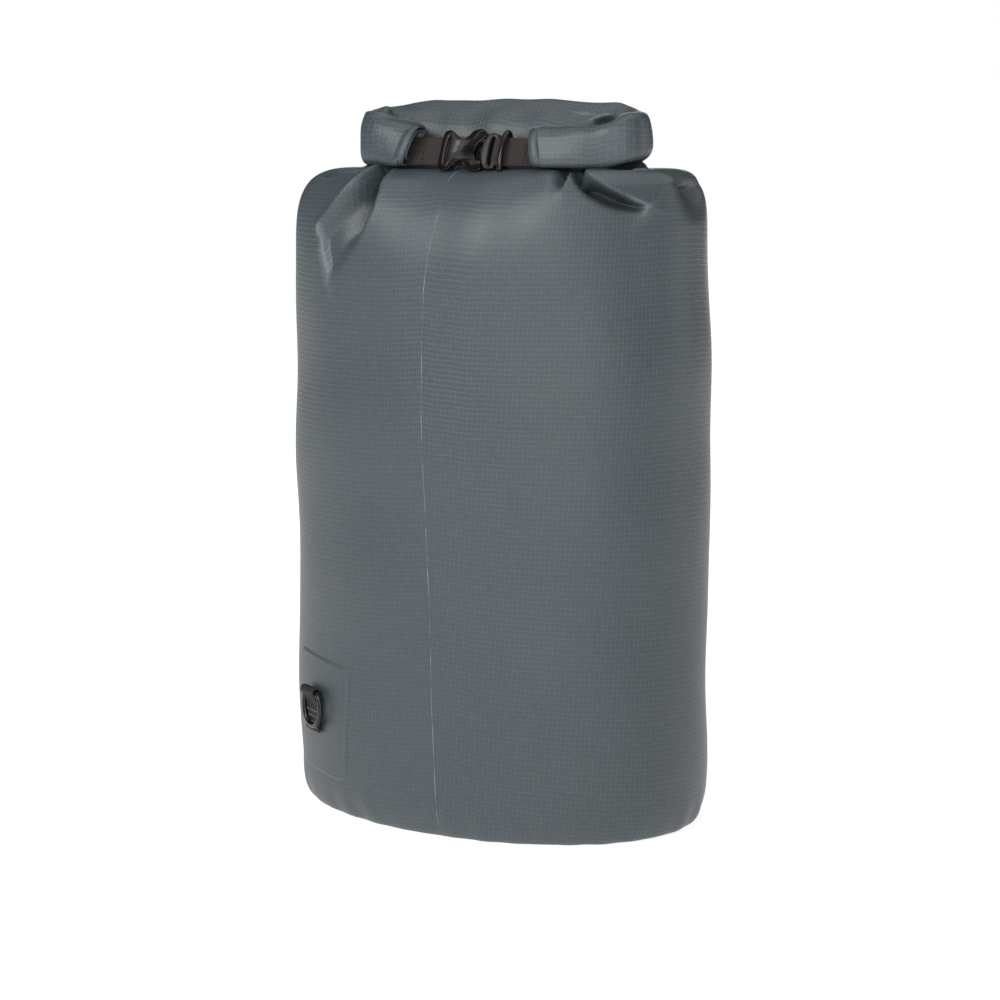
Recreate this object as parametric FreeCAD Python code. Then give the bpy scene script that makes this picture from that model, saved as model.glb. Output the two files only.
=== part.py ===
import FreeCAD, Part
import math
import os

# Roll-top dry bag standing on its oval base, closed and buckled.
# Millimetres. +X runs along the roll, -Y is the side with the buckle and the wrap seam, +Z is up.
# The origin is the middle of the base, on the floor.

Vector = FreeCAD.Vector

# The bag's body
HALF_LENGTH = 190.0
HALF_DEPTH = 131.0
CLOTH = 2.0
BASE_ROUND = 32.0
WALL_TOP = 470.0
SHOULDER_TOP = 560.0
NECK_OVERHANG = 12.0
NECK_HALF_DEPTH = 13.0
SQUARENESS = 2.05
TAPE_WIDTH = 22.0
TAPE_THICK = 0.6

# The roll: a back run with both ends turned forward, seen from above as a C
ROLL_LEFT_AXIS = -74.0
ROLL_RIGHT_AXIS = 135.0
ROLL_AXIS_Y = -53.5
ROLL_THICK = 29.0
ROLL_GAP = 3.0
ROLL_LOW = 562.0
ROLL_HIGH = 605.0
ROLL_CREST = 617.0
HEM_LEFT = -44.0
HEM_RIGHT = 68.0
HEM_LENGTH = 8.0
STIFFENER_THICK = 1.6
STIFFENER_WIDTH = 22.0

# Webbing and buckle, all on one line along X
WEB_WIDTH = 25.0
WEB_THICK = 1.6
LINE_Y = -69.5
LINE_Z = 574.5
LINE_TILT = 25.0
BUCKLE_THICK = 11.0
BAR_RADIUS = 1.5
BAR_INSET = 2.0
BAR_SPACE = 5.0
BUCKLE_HALF_HEIGHT = 17.0
HOUSING_LEFT = -17.0
HOUSING_RIGHT = 20.0
PLUG_LEFT = 20.5
PLUG_RIGHT = 34.0
PRONG_THICK = 5.0
PRONG_WIDTH = 4.0
PRONG_LINE = 10.0
PRONG_TIP = 2.0
BARB_CATCH = 8.0
BARB_OUT = 13.9
MOUTH_HALF = 13.4
LIP_WIDTH = 5.0
CATCH_PLAY = 6.5
WALL = 2.2
PLUG_THICK = 8.0

# The keeper ring round the right strap
KEEPER_X = 40.0
KEEPER_ROD = 4.4
KEEPER_HALF_Z = 18.0
KEEPER_HALF_Y = 8.5

# The lash point low on the wall: a patch, a folded webbing tab and a hanging D-ring
LASH_X = -126.0
PATCH_THICK = 0.8
PATCH_HALF = 46.0
PATCH_LOW = 34.0
PATCH_HIGH = 131.0
BAR_Z = 108.0
RING_ROD = 5.0
RING_HALF = 16.0
RING_DROP = 30.0
TAB_LOW = 72.0
TAB_BACK = -PATCH_THICK - 0.2
BAR_Y = TAB_BACK - 2 * WEB_THICK - 0.9 - RING_ROD / 2
STITCH = 0.8


def superellipse(x_mid, y_mid, half_x, half_y, power, z):
    """A closed smooth curve in a level plane."""
    points = []
    count = 40
    for i in range(count):
        angle = 2 * math.pi * i / count
        c, s = math.cos(angle), math.sin(angle)
        x = half_x * math.copysign(abs(c) ** (2 / power), c)
        y = half_y * math.copysign(abs(s) ** (2 / power), s)
        points.append(Vector(x_mid + x, y_mid + y, z))
    curve = Part.BSplineCurve()
    curve.interpolate(points, PeriodicFlag=True)
    return Part.Wire([curve.toShape()])


def bag_sections(inset):
    """Level sections of the body from the floor to the neck, moved inward by inset."""
    sections = []
    for degrees in range(0, 91, 15):
        angle = math.radians(degrees)
        z = BASE_ROUND - (BASE_ROUND - inset) * math.cos(angle)
        shrink = BASE_ROUND - (BASE_ROUND - inset) * math.sin(angle)
        sections.append((0, 0, HALF_LENGTH - shrink, HALF_DEPTH - shrink, SQUARENESS, z))
    # z, half length, front reach, back reach, squareness
    profile = (
        (WALL_TOP, HALF_LENGTH, HALF_DEPTH, HALF_DEPTH, SQUARENESS),
        (492, 190, 126, 128, 2.1),
        (512, 189.5, 119, 121, 2.2),
        (530, 188, 110, 110, 2.35),
        (543, 184, 100, 97, 2.5),
        (551, 176, 90, 76, 2.6),
    )
    for z, half_x, front, back, power in profile:
        y_mid = (back - front) / 2
        half_y = (back + front) / 2
        sections.append((0, y_mid, half_x - inset, half_y - inset, power, z - inset * (z > WALL_TOP)))
    neck_mid_x = (ROLL_LEFT_AXIS + ROLL_RIGHT_AXIS) / 2
    neck_half = (ROLL_RIGHT_AXIS - ROLL_LEFT_AXIS) / 2
    neck_y = ROLL_AXIS_Y + ROLL_GAP / 2 + ROLL_THICK / 2
    neck = (neck_mid_x, neck_y, neck_half + NECK_OVERHANG - inset, NECK_HALF_DEPTH - inset, 2.6)
    sections.append(neck + (SHOULDER_TOP - 2 - inset,))
    sections.append(neck + (SHOULDER_TOP,))
    return sections


def loft(sections):
    return Part.makeLoft([superellipse(*section) for section in sections], True, True)


def box(x0, x1, y0, y1, z0, z1):
    return Part.makeBox(x1 - x0, y1 - y0, z1 - z0, Vector(x0, y0, z0))


def round_box(x0, x1, y0, y1, z0, z1, radius, axis):
    """A box with its four edges along one axis rounded."""
    solid = box(x0, x1, y0, y1, z0, z1)
    edges = []
    for edge in solid.Edges:
        direction = edge.tangentAt(edge.FirstParameter)
        if abs(getattr(direction, axis)) > 0.99:
            edges.append(edge)
    return solid.makeFillet(radius, edges)


def prism(points, thick):
    """Extrude an outline given as (x, z) along Y, centred on the strap line."""
    corners = [Vector(x, LINE_Y - thick / 2, z) for x, z in points]
    face = Part.Face(Part.makePolygon(corners + corners[:1]))
    return face.extrude(Vector(0, thick, 0))


def oval_disc(inset, z, thick):
    wire = superellipse(0, 0, HALF_LENGTH - inset, HALF_DEPTH - inset, SQUARENESS, z)
    return Part.Face(wire).extrude(Vector(0, 0, thick))


def body_wrap():
    outer = loft(bag_sections(0))
    inner = loft(bag_sections(CLOTH))
    return outer.cut(inner).cut(oval_disc(BASE_ROUND, -1, CLOTH + 2))


def base_panel():
    return oval_disc(BASE_ROUND, 0, CLOTH)


def base_seam_tape():
    ring = oval_disc(BASE_ROUND + 0.3, CLOTH, TAPE_THICK)
    return ring.cut(oval_disc(BASE_ROUND + TAPE_WIDTH, CLOTH - 1, TAPE_THICK + 2))


def wrap_seam_tape():
    """Tape on the inside of the front wall, behind the seam."""
    reach = HALF_DEPTH - CLOTH
    half = TAPE_WIDTH / 2
    return box(-half, half, 0.6 - reach, 0.6 - reach + TAPE_THICK, BASE_ROUND + 5, WALL_TOP - 5)


def roll_bend(axis_x, side, inner, outer, low, high):
    """Half a turn of the roll about an upright axis, on the given side of it."""
    profile = round_box(axis_x + inner, axis_x + outer, -0.5, 0.5, low, high, (outer - inner) * 0.3, "y")
    face = [f for f in profile.Faces if abs(f.normalAt(0, 0).y) > 0.99 and f.CenterOfMass.y > 0][0]
    face = face.copy()
    face.translate(Vector(0, ROLL_AXIS_Y - 0.5, 0))
    start = Vector(axis_x, ROLL_AXIS_Y, 0)
    face.rotate(start, Vector(0, 0, 1), 90 if side < 0 else -90)
    return face.revolve(start, Vector(0, 0, 1), 180)


def roll_path(thick, low, high, left_end, right_end, radius):
    """A band of the given section along the roll's C, from one hem to the other."""
    middle = (ROLL_GAP + ROLL_THICK) / 2
    inner, outer = middle - thick / 2, middle + thick / 2
    front = (ROLL_AXIS_Y - outer, ROLL_AXIS_Y - inner, low, high, radius, "x")
    back = (ROLL_AXIS_Y + inner, ROLL_AXIS_Y + outer, low, high, radius, "x")
    pieces = [
        round_box(ROLL_LEFT_AXIS, left_end, *front),
        round_box(right_end, ROLL_RIGHT_AXIS, *front),
        round_box(ROLL_LEFT_AXIS, ROLL_RIGHT_AXIS, *back),
        roll_bend(ROLL_LEFT_AXIS, -1, inner, outer, low, high),
        roll_bend(ROLL_RIGHT_AXIS, 1, inner, outer, low, high),
    ]
    return pieces[0].multiFuse(pieces[1:])


def stiffener():
    """The stiff strip at the core of the roll, sewn in along the mouth."""
    mid_z = (ROLL_LOW + ROLL_HIGH) / 2
    low, high = mid_z - STIFFENER_WIDTH / 2, mid_z + STIFFENER_WIDTH / 2
    return roll_path(STIFFENER_THICK, low, high, HEM_LEFT - 10, HEM_RIGHT + 10, STIFFENER_THICK * 0.3)


def hem(x0, x1):
    """The bound hem at one end of the roll, a little proud of it."""
    middle = (ROLL_GAP + ROLL_THICK) / 2
    half = ROLL_THICK / 2 - 2
    y = ROLL_AXIS_Y - middle
    return round_box(x0, x1, y - half, y + half, ROLL_LOW + 1, ROLL_HIGH - 1, 6, "x")


def lean_back(shape):
    """Tips a strap or buckle piece back about the strap line, as it lies on the roll."""
    shape.rotate(Vector(0, LINE_Y, LINE_Z), Vector(-1, 0, 0), LINE_TILT)
    return shape


def strap_slot(x0, x1):
    """The space that a strap takes where it enters the roll."""
    half = WEB_WIDTH / 2
    slot = box(x0, x1, LINE_Y - WEB_THICK, LINE_Y + WEB_THICK, LINE_Z - half, LINE_Z + half)
    return lean_back(slot)


def collar_roll():
    roll = roll_path(ROLL_THICK, ROLL_LOW, ROLL_HIGH, HEM_LEFT, HEM_RIGHT, ROLL_THICK * 0.3)
    back_front = ROLL_AXIS_Y + ROLL_GAP / 2
    back_rear = back_front + ROLL_THICK
    outline = (
        (back_front, SHOULDER_TOP),
        (back_front, ROLL_HIGH - 19),
        (back_rear - 4, ROLL_CREST),
        (back_rear + 5, ROLL_CREST),
        (back_rear + 13, ROLL_HIGH),
        (back_rear + 13, SHOULDER_TOP + 12),
        (back_rear + 4, SHOULDER_TOP),
    )
    corners = [Vector(ROLL_LEFT_AXIS, y, z) for y, z in outline]
    face = Part.Face(Part.makePolygon(corners + corners[:1]))
    crest = face.extrude(Vector(ROLL_RIGHT_AXIS - ROLL_LEFT_AXIS, 0, 0))
    roll = roll.fuse(crest)
    taken = [
        stiffener(),
        box(HEM_LEFT - HEM_LENGTH, HEM_LEFT + 1, -200, ROLL_AXIS_Y, ROLL_LOW - 5, ROLL_HIGH + 5),
        box(HEM_RIGHT - 1, HEM_RIGHT + HEM_LENGTH, -200, ROLL_AXIS_Y, ROLL_LOW - 5, ROLL_HIGH + 5),
    ]
    return roll.cut(taken).removeSplitter()


def hem_band(side):
    end = HEM_LEFT if side < 0 else HEM_RIGHT
    x0, x1 = sorted((end, end + side * HEM_LENGTH))
    return hem(x0, x1).cut([strap_slot(x0 - 1, x1 + 1), stiffener()])


def upright_rod(x, radius, half_height):
    return Part.makeCylinder(radius, 2 * half_height, Vector(x, LINE_Y, LINE_Z - half_height))


def strap(bar_x, end_x):
    """Webbing looped round a buckle bar and sewn to itself, its end held in the hem."""
    half = WEB_WIDTH / 2
    x0, x1 = sorted((bar_x, end_x))
    layers = box(x0, x1, LINE_Y - WEB_THICK, LINE_Y + WEB_THICK, LINE_Z - half, LINE_Z + half)
    loop = upright_rod(bar_x, BAR_RADIUS + 0.3 + WEB_THICK, half)
    return layers.fuse(loop).cut(upright_rod(bar_x, BAR_RADIUS + 0.3, 2 * half))


def stitch_rows(columns):
    """Short raised stitches across a strap, on its front face."""
    solids = []
    count = 8
    pitch = (WEB_WIDTH - 3) / count
    front = LINE_Y - WEB_THICK - 0.5
    for x in columns:
        for i in range(count):
            z = LINE_Z - WEB_WIDTH / 2 + 1.5 + (i + 0.2) * pitch
            solids.append(box(x, x + STITCH, front, front + 0.5, z, z + pitch * 0.6))
    return Part.makeCompound(solids)


def buckle_housing():
    """Waisted socket: strap bar on the left, open mouth on the right, a window each side."""
    top = BUCKLE_HALF_HEIGHT
    waist = 11.5
    upper = [
        (HOUSING_LEFT, WEB_WIDTH / 2 + 3),
        (HOUSING_LEFT + 10, WEB_WIDTH / 2 + 3),
        (PRONG_TIP - 1, waist),
        (BARB_CATCH + 2, waist),
        (HOUSING_RIGHT - LIP_WIDTH - 2, top),
        (HOUSING_RIGHT, top),
    ]
    lower = [(x, -z) for x, z in reversed(upper)]
    outline = [(x, LINE_Z + z) for x, z in upper + lower]
    shell = prism(outline, BUCKLE_THICK)
    depth = BUCKLE_THICK - 2 * WALL
    y0, y1 = LINE_Y - depth / 2, LINE_Y + depth / 2
    passage = box(PRONG_TIP - 2, HOUSING_RIGHT + 1, y0, y1, LINE_Z - MOUTH_HALF, LINE_Z + MOUTH_HALF)
    window_right = BARB_CATCH + CATCH_PLAY
    window = box(PRONG_TIP - 2, window_right, y0, y1, LINE_Z - 30, LINE_Z + 30)
    half = WEB_WIDTH / 2 + 0.5
    bar_x = HOUSING_LEFT + BAR_INSET
    strap_space = box(HOUSING_LEFT - 1, bar_x + BAR_SPACE, -200, 0, LINE_Z - half, LINE_Z + half)
    return shell.cut([passage, window, strap_space]).fuse(upright_rod(bar_x, BAR_RADIUS, half + 1))


def plug_base():
    """The plug's body: a bowed shoulder, a strap bar and the gap behind it."""
    top = BUCKLE_HALF_HEIGHT
    outline = [
        (PLUG_LEFT, -top + 3),
        (PLUG_LEFT, top - 3),
        (PLUG_LEFT + 4, top - 1),
        (PLUG_RIGHT, WEB_WIDTH / 2 + 2.5),
        (PLUG_RIGHT, -WEB_WIDTH / 2 - 2.5),
        (PLUG_LEFT + 4, -top + 1),
    ]
    solid = prism([(x, LINE_Z + z) for x, z in outline], PLUG_THICK)
    half = WEB_WIDTH / 2 + 0.5
    bar_x = PLUG_RIGHT - BAR_INSET
    strap_space = box(bar_x - BAR_SPACE, PLUG_RIGHT + 1, -200, 0, LINE_Z - half, LINE_Z + half)
    return solid.cut(strap_space).fuse(upright_rod(bar_x, BAR_RADIUS, half + 1))


def prong(side):
    """One sprung arm with its barb, ending a hair short of the plug's body."""
    root = PLUG_LEFT - 0.5
    inner = PRONG_LINE - PRONG_WIDTH / 2
    outer = PRONG_LINE + PRONG_WIDTH / 2
    outline = [
        (root, inner),
        (root, outer),
        (BARB_CATCH, outer),
        (BARB_CATCH, BARB_OUT),
        (BARB_CATCH - 2, BARB_OUT),
        (PRONG_TIP, outer - 2),
        (PRONG_TIP, inner),
    ]
    return prism([(x, LINE_Z + side * z) for x, z in outline], PRONG_THICK)


def keeper_ring():
    """A slim oval ring threaded on the right strap, standing across it."""
    rod = KEEPER_ROD / 2
    outer = round_box(
        KEEPER_X - rod, KEEPER_X + rod, LINE_Y - KEEPER_HALF_Y, LINE_Y + KEEPER_HALF_Y,
        LINE_Z - KEEPER_HALF_Z, LINE_Z + KEEPER_HALF_Z, KEEPER_HALF_Y - 0.5, "x",
    )
    inner_y = KEEPER_HALF_Y - KEEPER_ROD * 0.8
    inner_z = KEEPER_HALF_Z - KEEPER_ROD * 0.8
    inner = round_box(
        KEEPER_X - 9, KEEPER_X + 9, LINE_Y - inner_y, LINE_Y + inner_y,
        LINE_Z - inner_z, LINE_Z + inner_z, inner_y - 0.5, "x",
    )
    return outer.cut(inner)


def to_wall(shape):
    """Turn a piece built facing -Y at the origin onto the bag's front wall at LASH_X."""
    across = abs(LASH_X) / HALF_LENGTH
    out = (1 - across ** SQUARENESS) ** (1 / SQUARENESS)
    steepness = across ** (SQUARENESS - 1) / HALF_LENGTH
    turn = math.atan2(steepness, out ** (SQUARENESS - 1) / HALF_DEPTH)
    shape.rotate(Vector(0, 0, 0), Vector(0, 0, 1), -math.degrees(turn))
    shape.translate(Vector(LASH_X, -HALF_DEPTH * out, 0))
    return shape


def lash_patch():
    """A square of body cloth welded on behind the ring, following the oval wall."""
    outer = superellipse(0, 0, HALF_LENGTH + PATCH_THICK, HALF_DEPTH + PATCH_THICK, SQUARENESS, PATCH_LOW)
    inner = superellipse(0, 0, HALF_LENGTH, HALF_DEPTH, SQUARENESS, PATCH_LOW)
    band = Part.Face(outer).cut(Part.Face(inner)).extrude(Vector(0, 0, PATCH_HIGH - PATCH_LOW))
    window = box(-PATCH_HALF, PATCH_HALF, -30, 40, PATCH_LOW, PATCH_HIGH)
    return band.common(to_wall(window))


def lash_tab():
    """Webbing folded over the ring's bar and sewn down below it."""
    half = WEB_WIDTH / 2
    outer = Part.makeCylinder(RING_ROD / 2 + 0.3 + WEB_THICK, 2 * half, Vector(-half, BAR_Y, BAR_Z), Vector(1, 0, 0))
    tail = box(-half, half, TAB_BACK - 2 * WEB_THICK, TAB_BACK, TAB_LOW, BAR_Z - 6)
    web = box(-half, half, BAR_Y, TAB_BACK, BAR_Z - 7, BAR_Z)
    bore = Part.makeCylinder(RING_ROD / 2 + 0.3, 4 * half, Vector(-2 * half, BAR_Y, BAR_Z), Vector(1, 0, 0))
    return to_wall(outer.multiFuse([tail, web]).cut(bore).removeSplitter())


def lash_tab_stitching():
    """A sewn box on the tab's face."""
    front = TAB_BACK - 2 * WEB_THICK
    half = WEB_WIDTH / 2 - 3
    rows = []
    for z in (TAB_LOW + 3, TAB_LOW + 14):
        rows.append(box(-half, half, front - 0.4, front, z, z + STITCH))
    for x in (-half, half - STITCH):
        rows.append(box(x, x + STITCH, front - 0.4, front, TAB_LOW + 5, TAB_LOW + 13))
    return to_wall(Part.makeCompound(rows))


def lash_ring():
    """D-ring: a straight bar in the tab and a bow that hangs in front of it."""
    rod = RING_ROD / 2
    y = BAR_Y
    shoulder = BAR_Z - (RING_DROP - RING_HALF)
    start = Vector(-RING_HALF, y, BAR_Z)
    path = Part.Wire([
        Part.LineSegment(start, Vector(-RING_HALF, y, shoulder)).toShape(),
        Part.Arc(
            Vector(-RING_HALF, y, shoulder),
            Vector(0, y, BAR_Z - RING_DROP),
            Vector(RING_HALF, y, shoulder),
        ).toShape(),
        Part.LineSegment(Vector(RING_HALF, y, shoulder), Vector(RING_HALF, y, BAR_Z)).toShape(),
    ])
    section = Part.Wire([Part.makeCircle(rod, start, Vector(0, 0, -1))])
    bow = path.makePipeShell([section], True, False)
    bar = Part.makeCylinder(rod, 2 * RING_HALF, start, Vector(1, 0, 0))
    ends = [Part.makeSphere(rod, Vector(x, y, BAR_Z)) for x in (-RING_HALF, RING_HALF)]
    return to_wall(bar.multiFuse([bow] + ends))


NODES = {
    "body_wrap": body_wrap,
    "base_panel": base_panel,
    "base_seam_tape": base_seam_tape,
    "wrap_seam_tape": wrap_seam_tape,
    "collar_roll": collar_roll,
    "mouth_stiffener": stiffener,
    "hem_left": lambda: hem_band(-1),
    "hem_right": lambda: hem_band(1),
    "strap_left": lambda: lean_back(strap(HOUSING_LEFT + BAR_INSET, HEM_LEFT - HEM_LENGTH)),
    "strap_right": lambda: lean_back(strap(PLUG_RIGHT - BAR_INSET, HEM_RIGHT + HEM_LENGTH)),
    "strap_left_stitching": lambda: lean_back(stitch_rows((HEM_LEFT + 8,))),
    "strap_right_stitching": lambda: lean_back(stitch_rows((HEM_RIGHT - 9, HEM_RIGHT - 5.5))),
    "buckle_housing": lambda: lean_back(buckle_housing()),
    "plug_base": lambda: lean_back(plug_base()),
    "prong_upper": lambda: lean_back(prong(1)),
    "prong_lower": lambda: lean_back(prong(-1)),
    "keeper_ring": lambda: lean_back(keeper_ring()),
    "lash_patch": lash_patch,
    "lash_tab": lash_tab,
    "lash_tab_stitching": lash_tab_stitching,
    "lash_ring": lash_ring,
}

os.makedirs("parts", exist_ok=True)
for name, make in NODES.items():
    shape = make()
    shape.exportStep("parts/" + name + ".step")
    size = shape.BoundBox
    print(name, shape.isValid(), len(shape.Solids), round(shape.Volume, 1),
          [round(v, 1) for v in (size.XMin, size.XMax, size.YMin, size.YMax, size.ZMin, size.ZMax)])
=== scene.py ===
import math

import bmesh
import bpy
import numpy as np
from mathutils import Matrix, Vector


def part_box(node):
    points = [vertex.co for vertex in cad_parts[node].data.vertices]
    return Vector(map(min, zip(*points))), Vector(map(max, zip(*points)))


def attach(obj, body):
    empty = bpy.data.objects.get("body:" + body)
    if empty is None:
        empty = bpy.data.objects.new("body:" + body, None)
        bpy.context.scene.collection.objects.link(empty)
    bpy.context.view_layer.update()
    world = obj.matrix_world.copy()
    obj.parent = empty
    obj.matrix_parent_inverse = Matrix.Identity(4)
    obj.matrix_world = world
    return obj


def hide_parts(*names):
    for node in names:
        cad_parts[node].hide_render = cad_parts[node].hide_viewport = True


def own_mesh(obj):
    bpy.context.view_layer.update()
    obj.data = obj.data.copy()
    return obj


# A roll-top dry bag, closed and buckled, standing on its oval base.
# Metres. +X runs along the roll, -Y is the side with the buckle, +Z is up.

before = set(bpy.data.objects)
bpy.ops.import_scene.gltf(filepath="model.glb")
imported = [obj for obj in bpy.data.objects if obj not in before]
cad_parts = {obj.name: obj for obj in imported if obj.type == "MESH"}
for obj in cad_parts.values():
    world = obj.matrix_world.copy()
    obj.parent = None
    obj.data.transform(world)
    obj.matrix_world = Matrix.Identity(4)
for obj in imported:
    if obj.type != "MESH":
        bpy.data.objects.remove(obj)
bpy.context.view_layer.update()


# ---------------------------------------------------------------------------
# Camera: a long lens level with the roll, a little to the bag's right-hand side.
# ---------------------------------------------------------------------------
CAMERA_TURN = math.radians(27)
CAMERA_DROP = math.radians(9.2)
CAMERA_REACH = 2.09
CAMERA_HEIGHT = 0.61

camera = bpy.data.objects.new("camera", bpy.data.cameras.new("camera"))
camera.data.lens = 87.0
camera.data.sensor_width = 36.0
camera.location = (
    CAMERA_REACH * math.sin(CAMERA_TURN),
    -CAMERA_REACH * math.cos(CAMERA_TURN),
    CAMERA_HEIGHT,
)
camera.rotation_euler = (math.pi / 2 - CAMERA_DROP, 0, CAMERA_TURN)
bpy.context.collection.objects.link(camera)
bpy.context.scene.camera = camera


# ---------------------------------------------------------------------------
# Studio: a wide white floor, and broad soft lights round the bag.
# The world is white where the camera sees it, and the floor glows, so that it is white and keeps only a soft shadow.
# ---------------------------------------------------------------------------
def linear(hex_colour):
    """An sRGB hex colour as the linear RGBA that a shader takes."""
    channels = [int(hex_colour[i:i + 2], 16) / 255 for i in (1, 3, 5)]
    return [c / 12.92 if c <= 0.04045 else ((c + 0.055) / 1.055) ** 2.4 for c in channels] + [1]


def add_node(tree, kind, settings=(), links=()):
    """Adds one node, with its attributes, its sockets' values and the sockets that feed it."""
    node = tree.nodes.new(kind)
    for name, value in dict(settings).items():
        if isinstance(name, int) or name in node.inputs:
            node.inputs[name].default_value = value
        else:
            setattr(node, name, value)
    for name, source in dict(links).items():
        tree.links.new(source, node.inputs[name])
    return node


def new_material(name):
    """A material with its principled shader, and the tree they stand in."""
    material = bpy.data.materials.new(name)
    material.use_nodes = True
    return material, material.node_tree, material.node_tree.nodes["Principled BSDF"]


white_paper, tree, shader = new_material("studio_paper_matt_white")
shader.inputs["Base Color"].default_value = linear("#A8A8A8")
shader.inputs["Roughness"].default_value = 0.9
shader.inputs["Emission Color"].default_value = (1, 1, 1, 1)
place = add_node(tree, "ShaderNodeTexCoord")
away = add_node(tree, "ShaderNodeVectorMath", {"operation": "LENGTH"}, {0: place.outputs["Object"]})
glow = add_node(tree, "ShaderNodeMapRange", {"From Min": 0.5, "From Max": 1.5, "To Min": 0.84, "To Max": 1.0},
                {"Value": away.outputs["Value"]})
tree.links.new(glow.outputs["Result"], shader.inputs["Emission Strength"])

FLOOR_HALF = 9.0
floor_mesh = bpy.data.meshes.new("floor")
corners = [(-1, -1), (1, -1), (1, 1), (-1, 1)]
floor_mesh.from_pydata([(x * FLOOR_HALF, y * FLOOR_HALF, 0) for x, y in corners], [], [(0, 1, 2, 3)])
floor = bpy.data.objects.new("floor", floor_mesh)
floor_mesh.materials.append(white_paper)
bpy.context.collection.objects.link(floor)

world = bpy.data.worlds.new("studio")
bpy.context.scene.world = world
world.use_nodes = True
SURROUND = 0.05
tree = world.node_tree
seen = add_node(tree, "ShaderNodeLightPath")
level = add_node(tree, "ShaderNodeMapRange", {"To Min": SURROUND, "To Max": 1.0}, {"Value": seen.outputs["Is Camera Ray"]})
tree.nodes["Background"].inputs["Color"].default_value = (1, 1, 1, 1)
tree.links.new(level.outputs[0], tree.nodes["Background"].inputs["Strength"])
bpy.context.scene.view_settings.view_transform = "Standard"


AIM = Vector((0, 0, 0.42))


def soft_light(name, turn, rise, reach, size, power):
    """A broad lamp aimed at the bag, turned from -Y towards +X and raised, both in degrees."""
    light = bpy.data.lights.new(name, "AREA")
    light.shape = "RECTANGLE"
    light.size, light.size_y = size
    light.energy = power
    lamp = bpy.data.objects.new(name, light)
    turn, rise = math.radians(turn), math.radians(rise)
    way = Vector((math.sin(turn) * math.cos(rise), -math.cos(turn) * math.cos(rise), math.sin(rise)))
    lamp.location = AIM + reach * way
    lamp.rotation_euler = (-way).to_track_quat("-Z", "Y").to_euler()
    bpy.context.collection.objects.link(lamp)


soft_light("light_key", -19, 30, 2.4, (1.2, 1.2), 36)
soft_light("light_front", 27, 15, 2.6, (2.0, 1.6), 27)
soft_light("light_right_rear", 115, 15, 2.4, (1.0, 2.0), 8)
soft_light("light_above", 60, 85, 2.0, (2.2, 2.2), 20)
soft_light("light_rear", 200, 12, 2.6, (1.6, 1.6), 14)


# ---------------------------------------------------------------------------
# Body: one sheet of coated ripstop nylon, wrapped round and closed by a seam up the front.
# The wall stands full and smooth; over the shoulders it is gathered into the rolled neck,
# where the turned-in ends of the roll pull it into deep folds.
# ---------------------------------------------------------------------------
body_low, body_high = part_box("body_wrap")
panel_low, panel_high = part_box("base_panel")
roll_low, roll_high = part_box("collar_roll")
hem_left_low, hem_left_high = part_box("hem_left")
hem_right_low, hem_right_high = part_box("hem_right")
HALF_LENGTH = (body_high[0] - body_low[0]) / 2 - 0.0005
HALF_DEPTH = (body_high[1] - body_low[1]) / 2 - 0.0005
BASE_ROUND = HALF_DEPTH - (panel_high[1] - panel_low[1]) / 2
BASE_TURN = 0.012
SHOULDER_TOP = body_high[2]
OVAL_POWER = 2.05
COLUMNS = 480
ROLL_HALF = 0.0145
ROLL_LINE_Y = (hem_left_low[1] + hem_left_high[1]) / 2
ROLL_TURN = 0.016
ROLL_AXIS_Y = ROLL_LINE_Y + ROLL_TURN
BACK_LINE_Y = ROLL_AXIS_Y + ROLL_TURN
BEND_LEFT = roll_low[0] + ROLL_TURN + ROLL_HALF
BEND_RIGHT = roll_high[0] - ROLL_TURN - ROLL_HALF


def oval_point(angle, shrink=0.0):
    """A point on the bag's oval section, by angle from +X."""
    c, s = math.cos(angle), math.sin(angle)
    x = (HALF_LENGTH - shrink) * math.copysign(abs(c) ** (2 / OVAL_POWER), c)
    y = (HALF_DEPTH - shrink) * math.copysign(abs(s) ** (2 / OVAL_POWER), s)
    return x, y


def spaced(points, wanted):
    """Points at the wanted shares of the way along an open run of points."""
    points = np.array(points, float)
    steps = np.linalg.norm(np.diff(points, axis=0), axis=1)
    along = np.concatenate([[0], np.cumsum(steps)])
    return np.stack([np.interp(np.array(wanted) * along[-1], along, points[:, k]) for k in range(points.shape[1])], axis=1)


def smooth(value, low, high):
    t = np.clip((value - low) / (high - low), 0, 1)
    return t * t * (3 - 2 * t)


def blurred(values, width):
    """A closed row of values, averaged over its neighbours."""
    kernel = np.hanning(2 * width + 3)[1:-1]
    kernel /= kernel.sum()
    wrapped = np.concatenate([values[-width:], values, values[:width]])
    return np.convolve(wrapped, kernel, mode="valid")


# Column 0 is the middle of the back; the columns run round by +X, and the seam is half way, in front.
around = np.linspace(0, 2 * math.pi, 2001)
share = np.arange(COLUMNS + 1) / COLUMNS
oval = spaced([oval_point(math.pi / 2 - a) for a in around], share)
base_edge = spaced([oval_point(math.pi / 2 - a, BASE_TURN) for a in around], share)
GIRTH = np.linalg.norm(np.diff(oval, axis=0), axis=1).sum()

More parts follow.
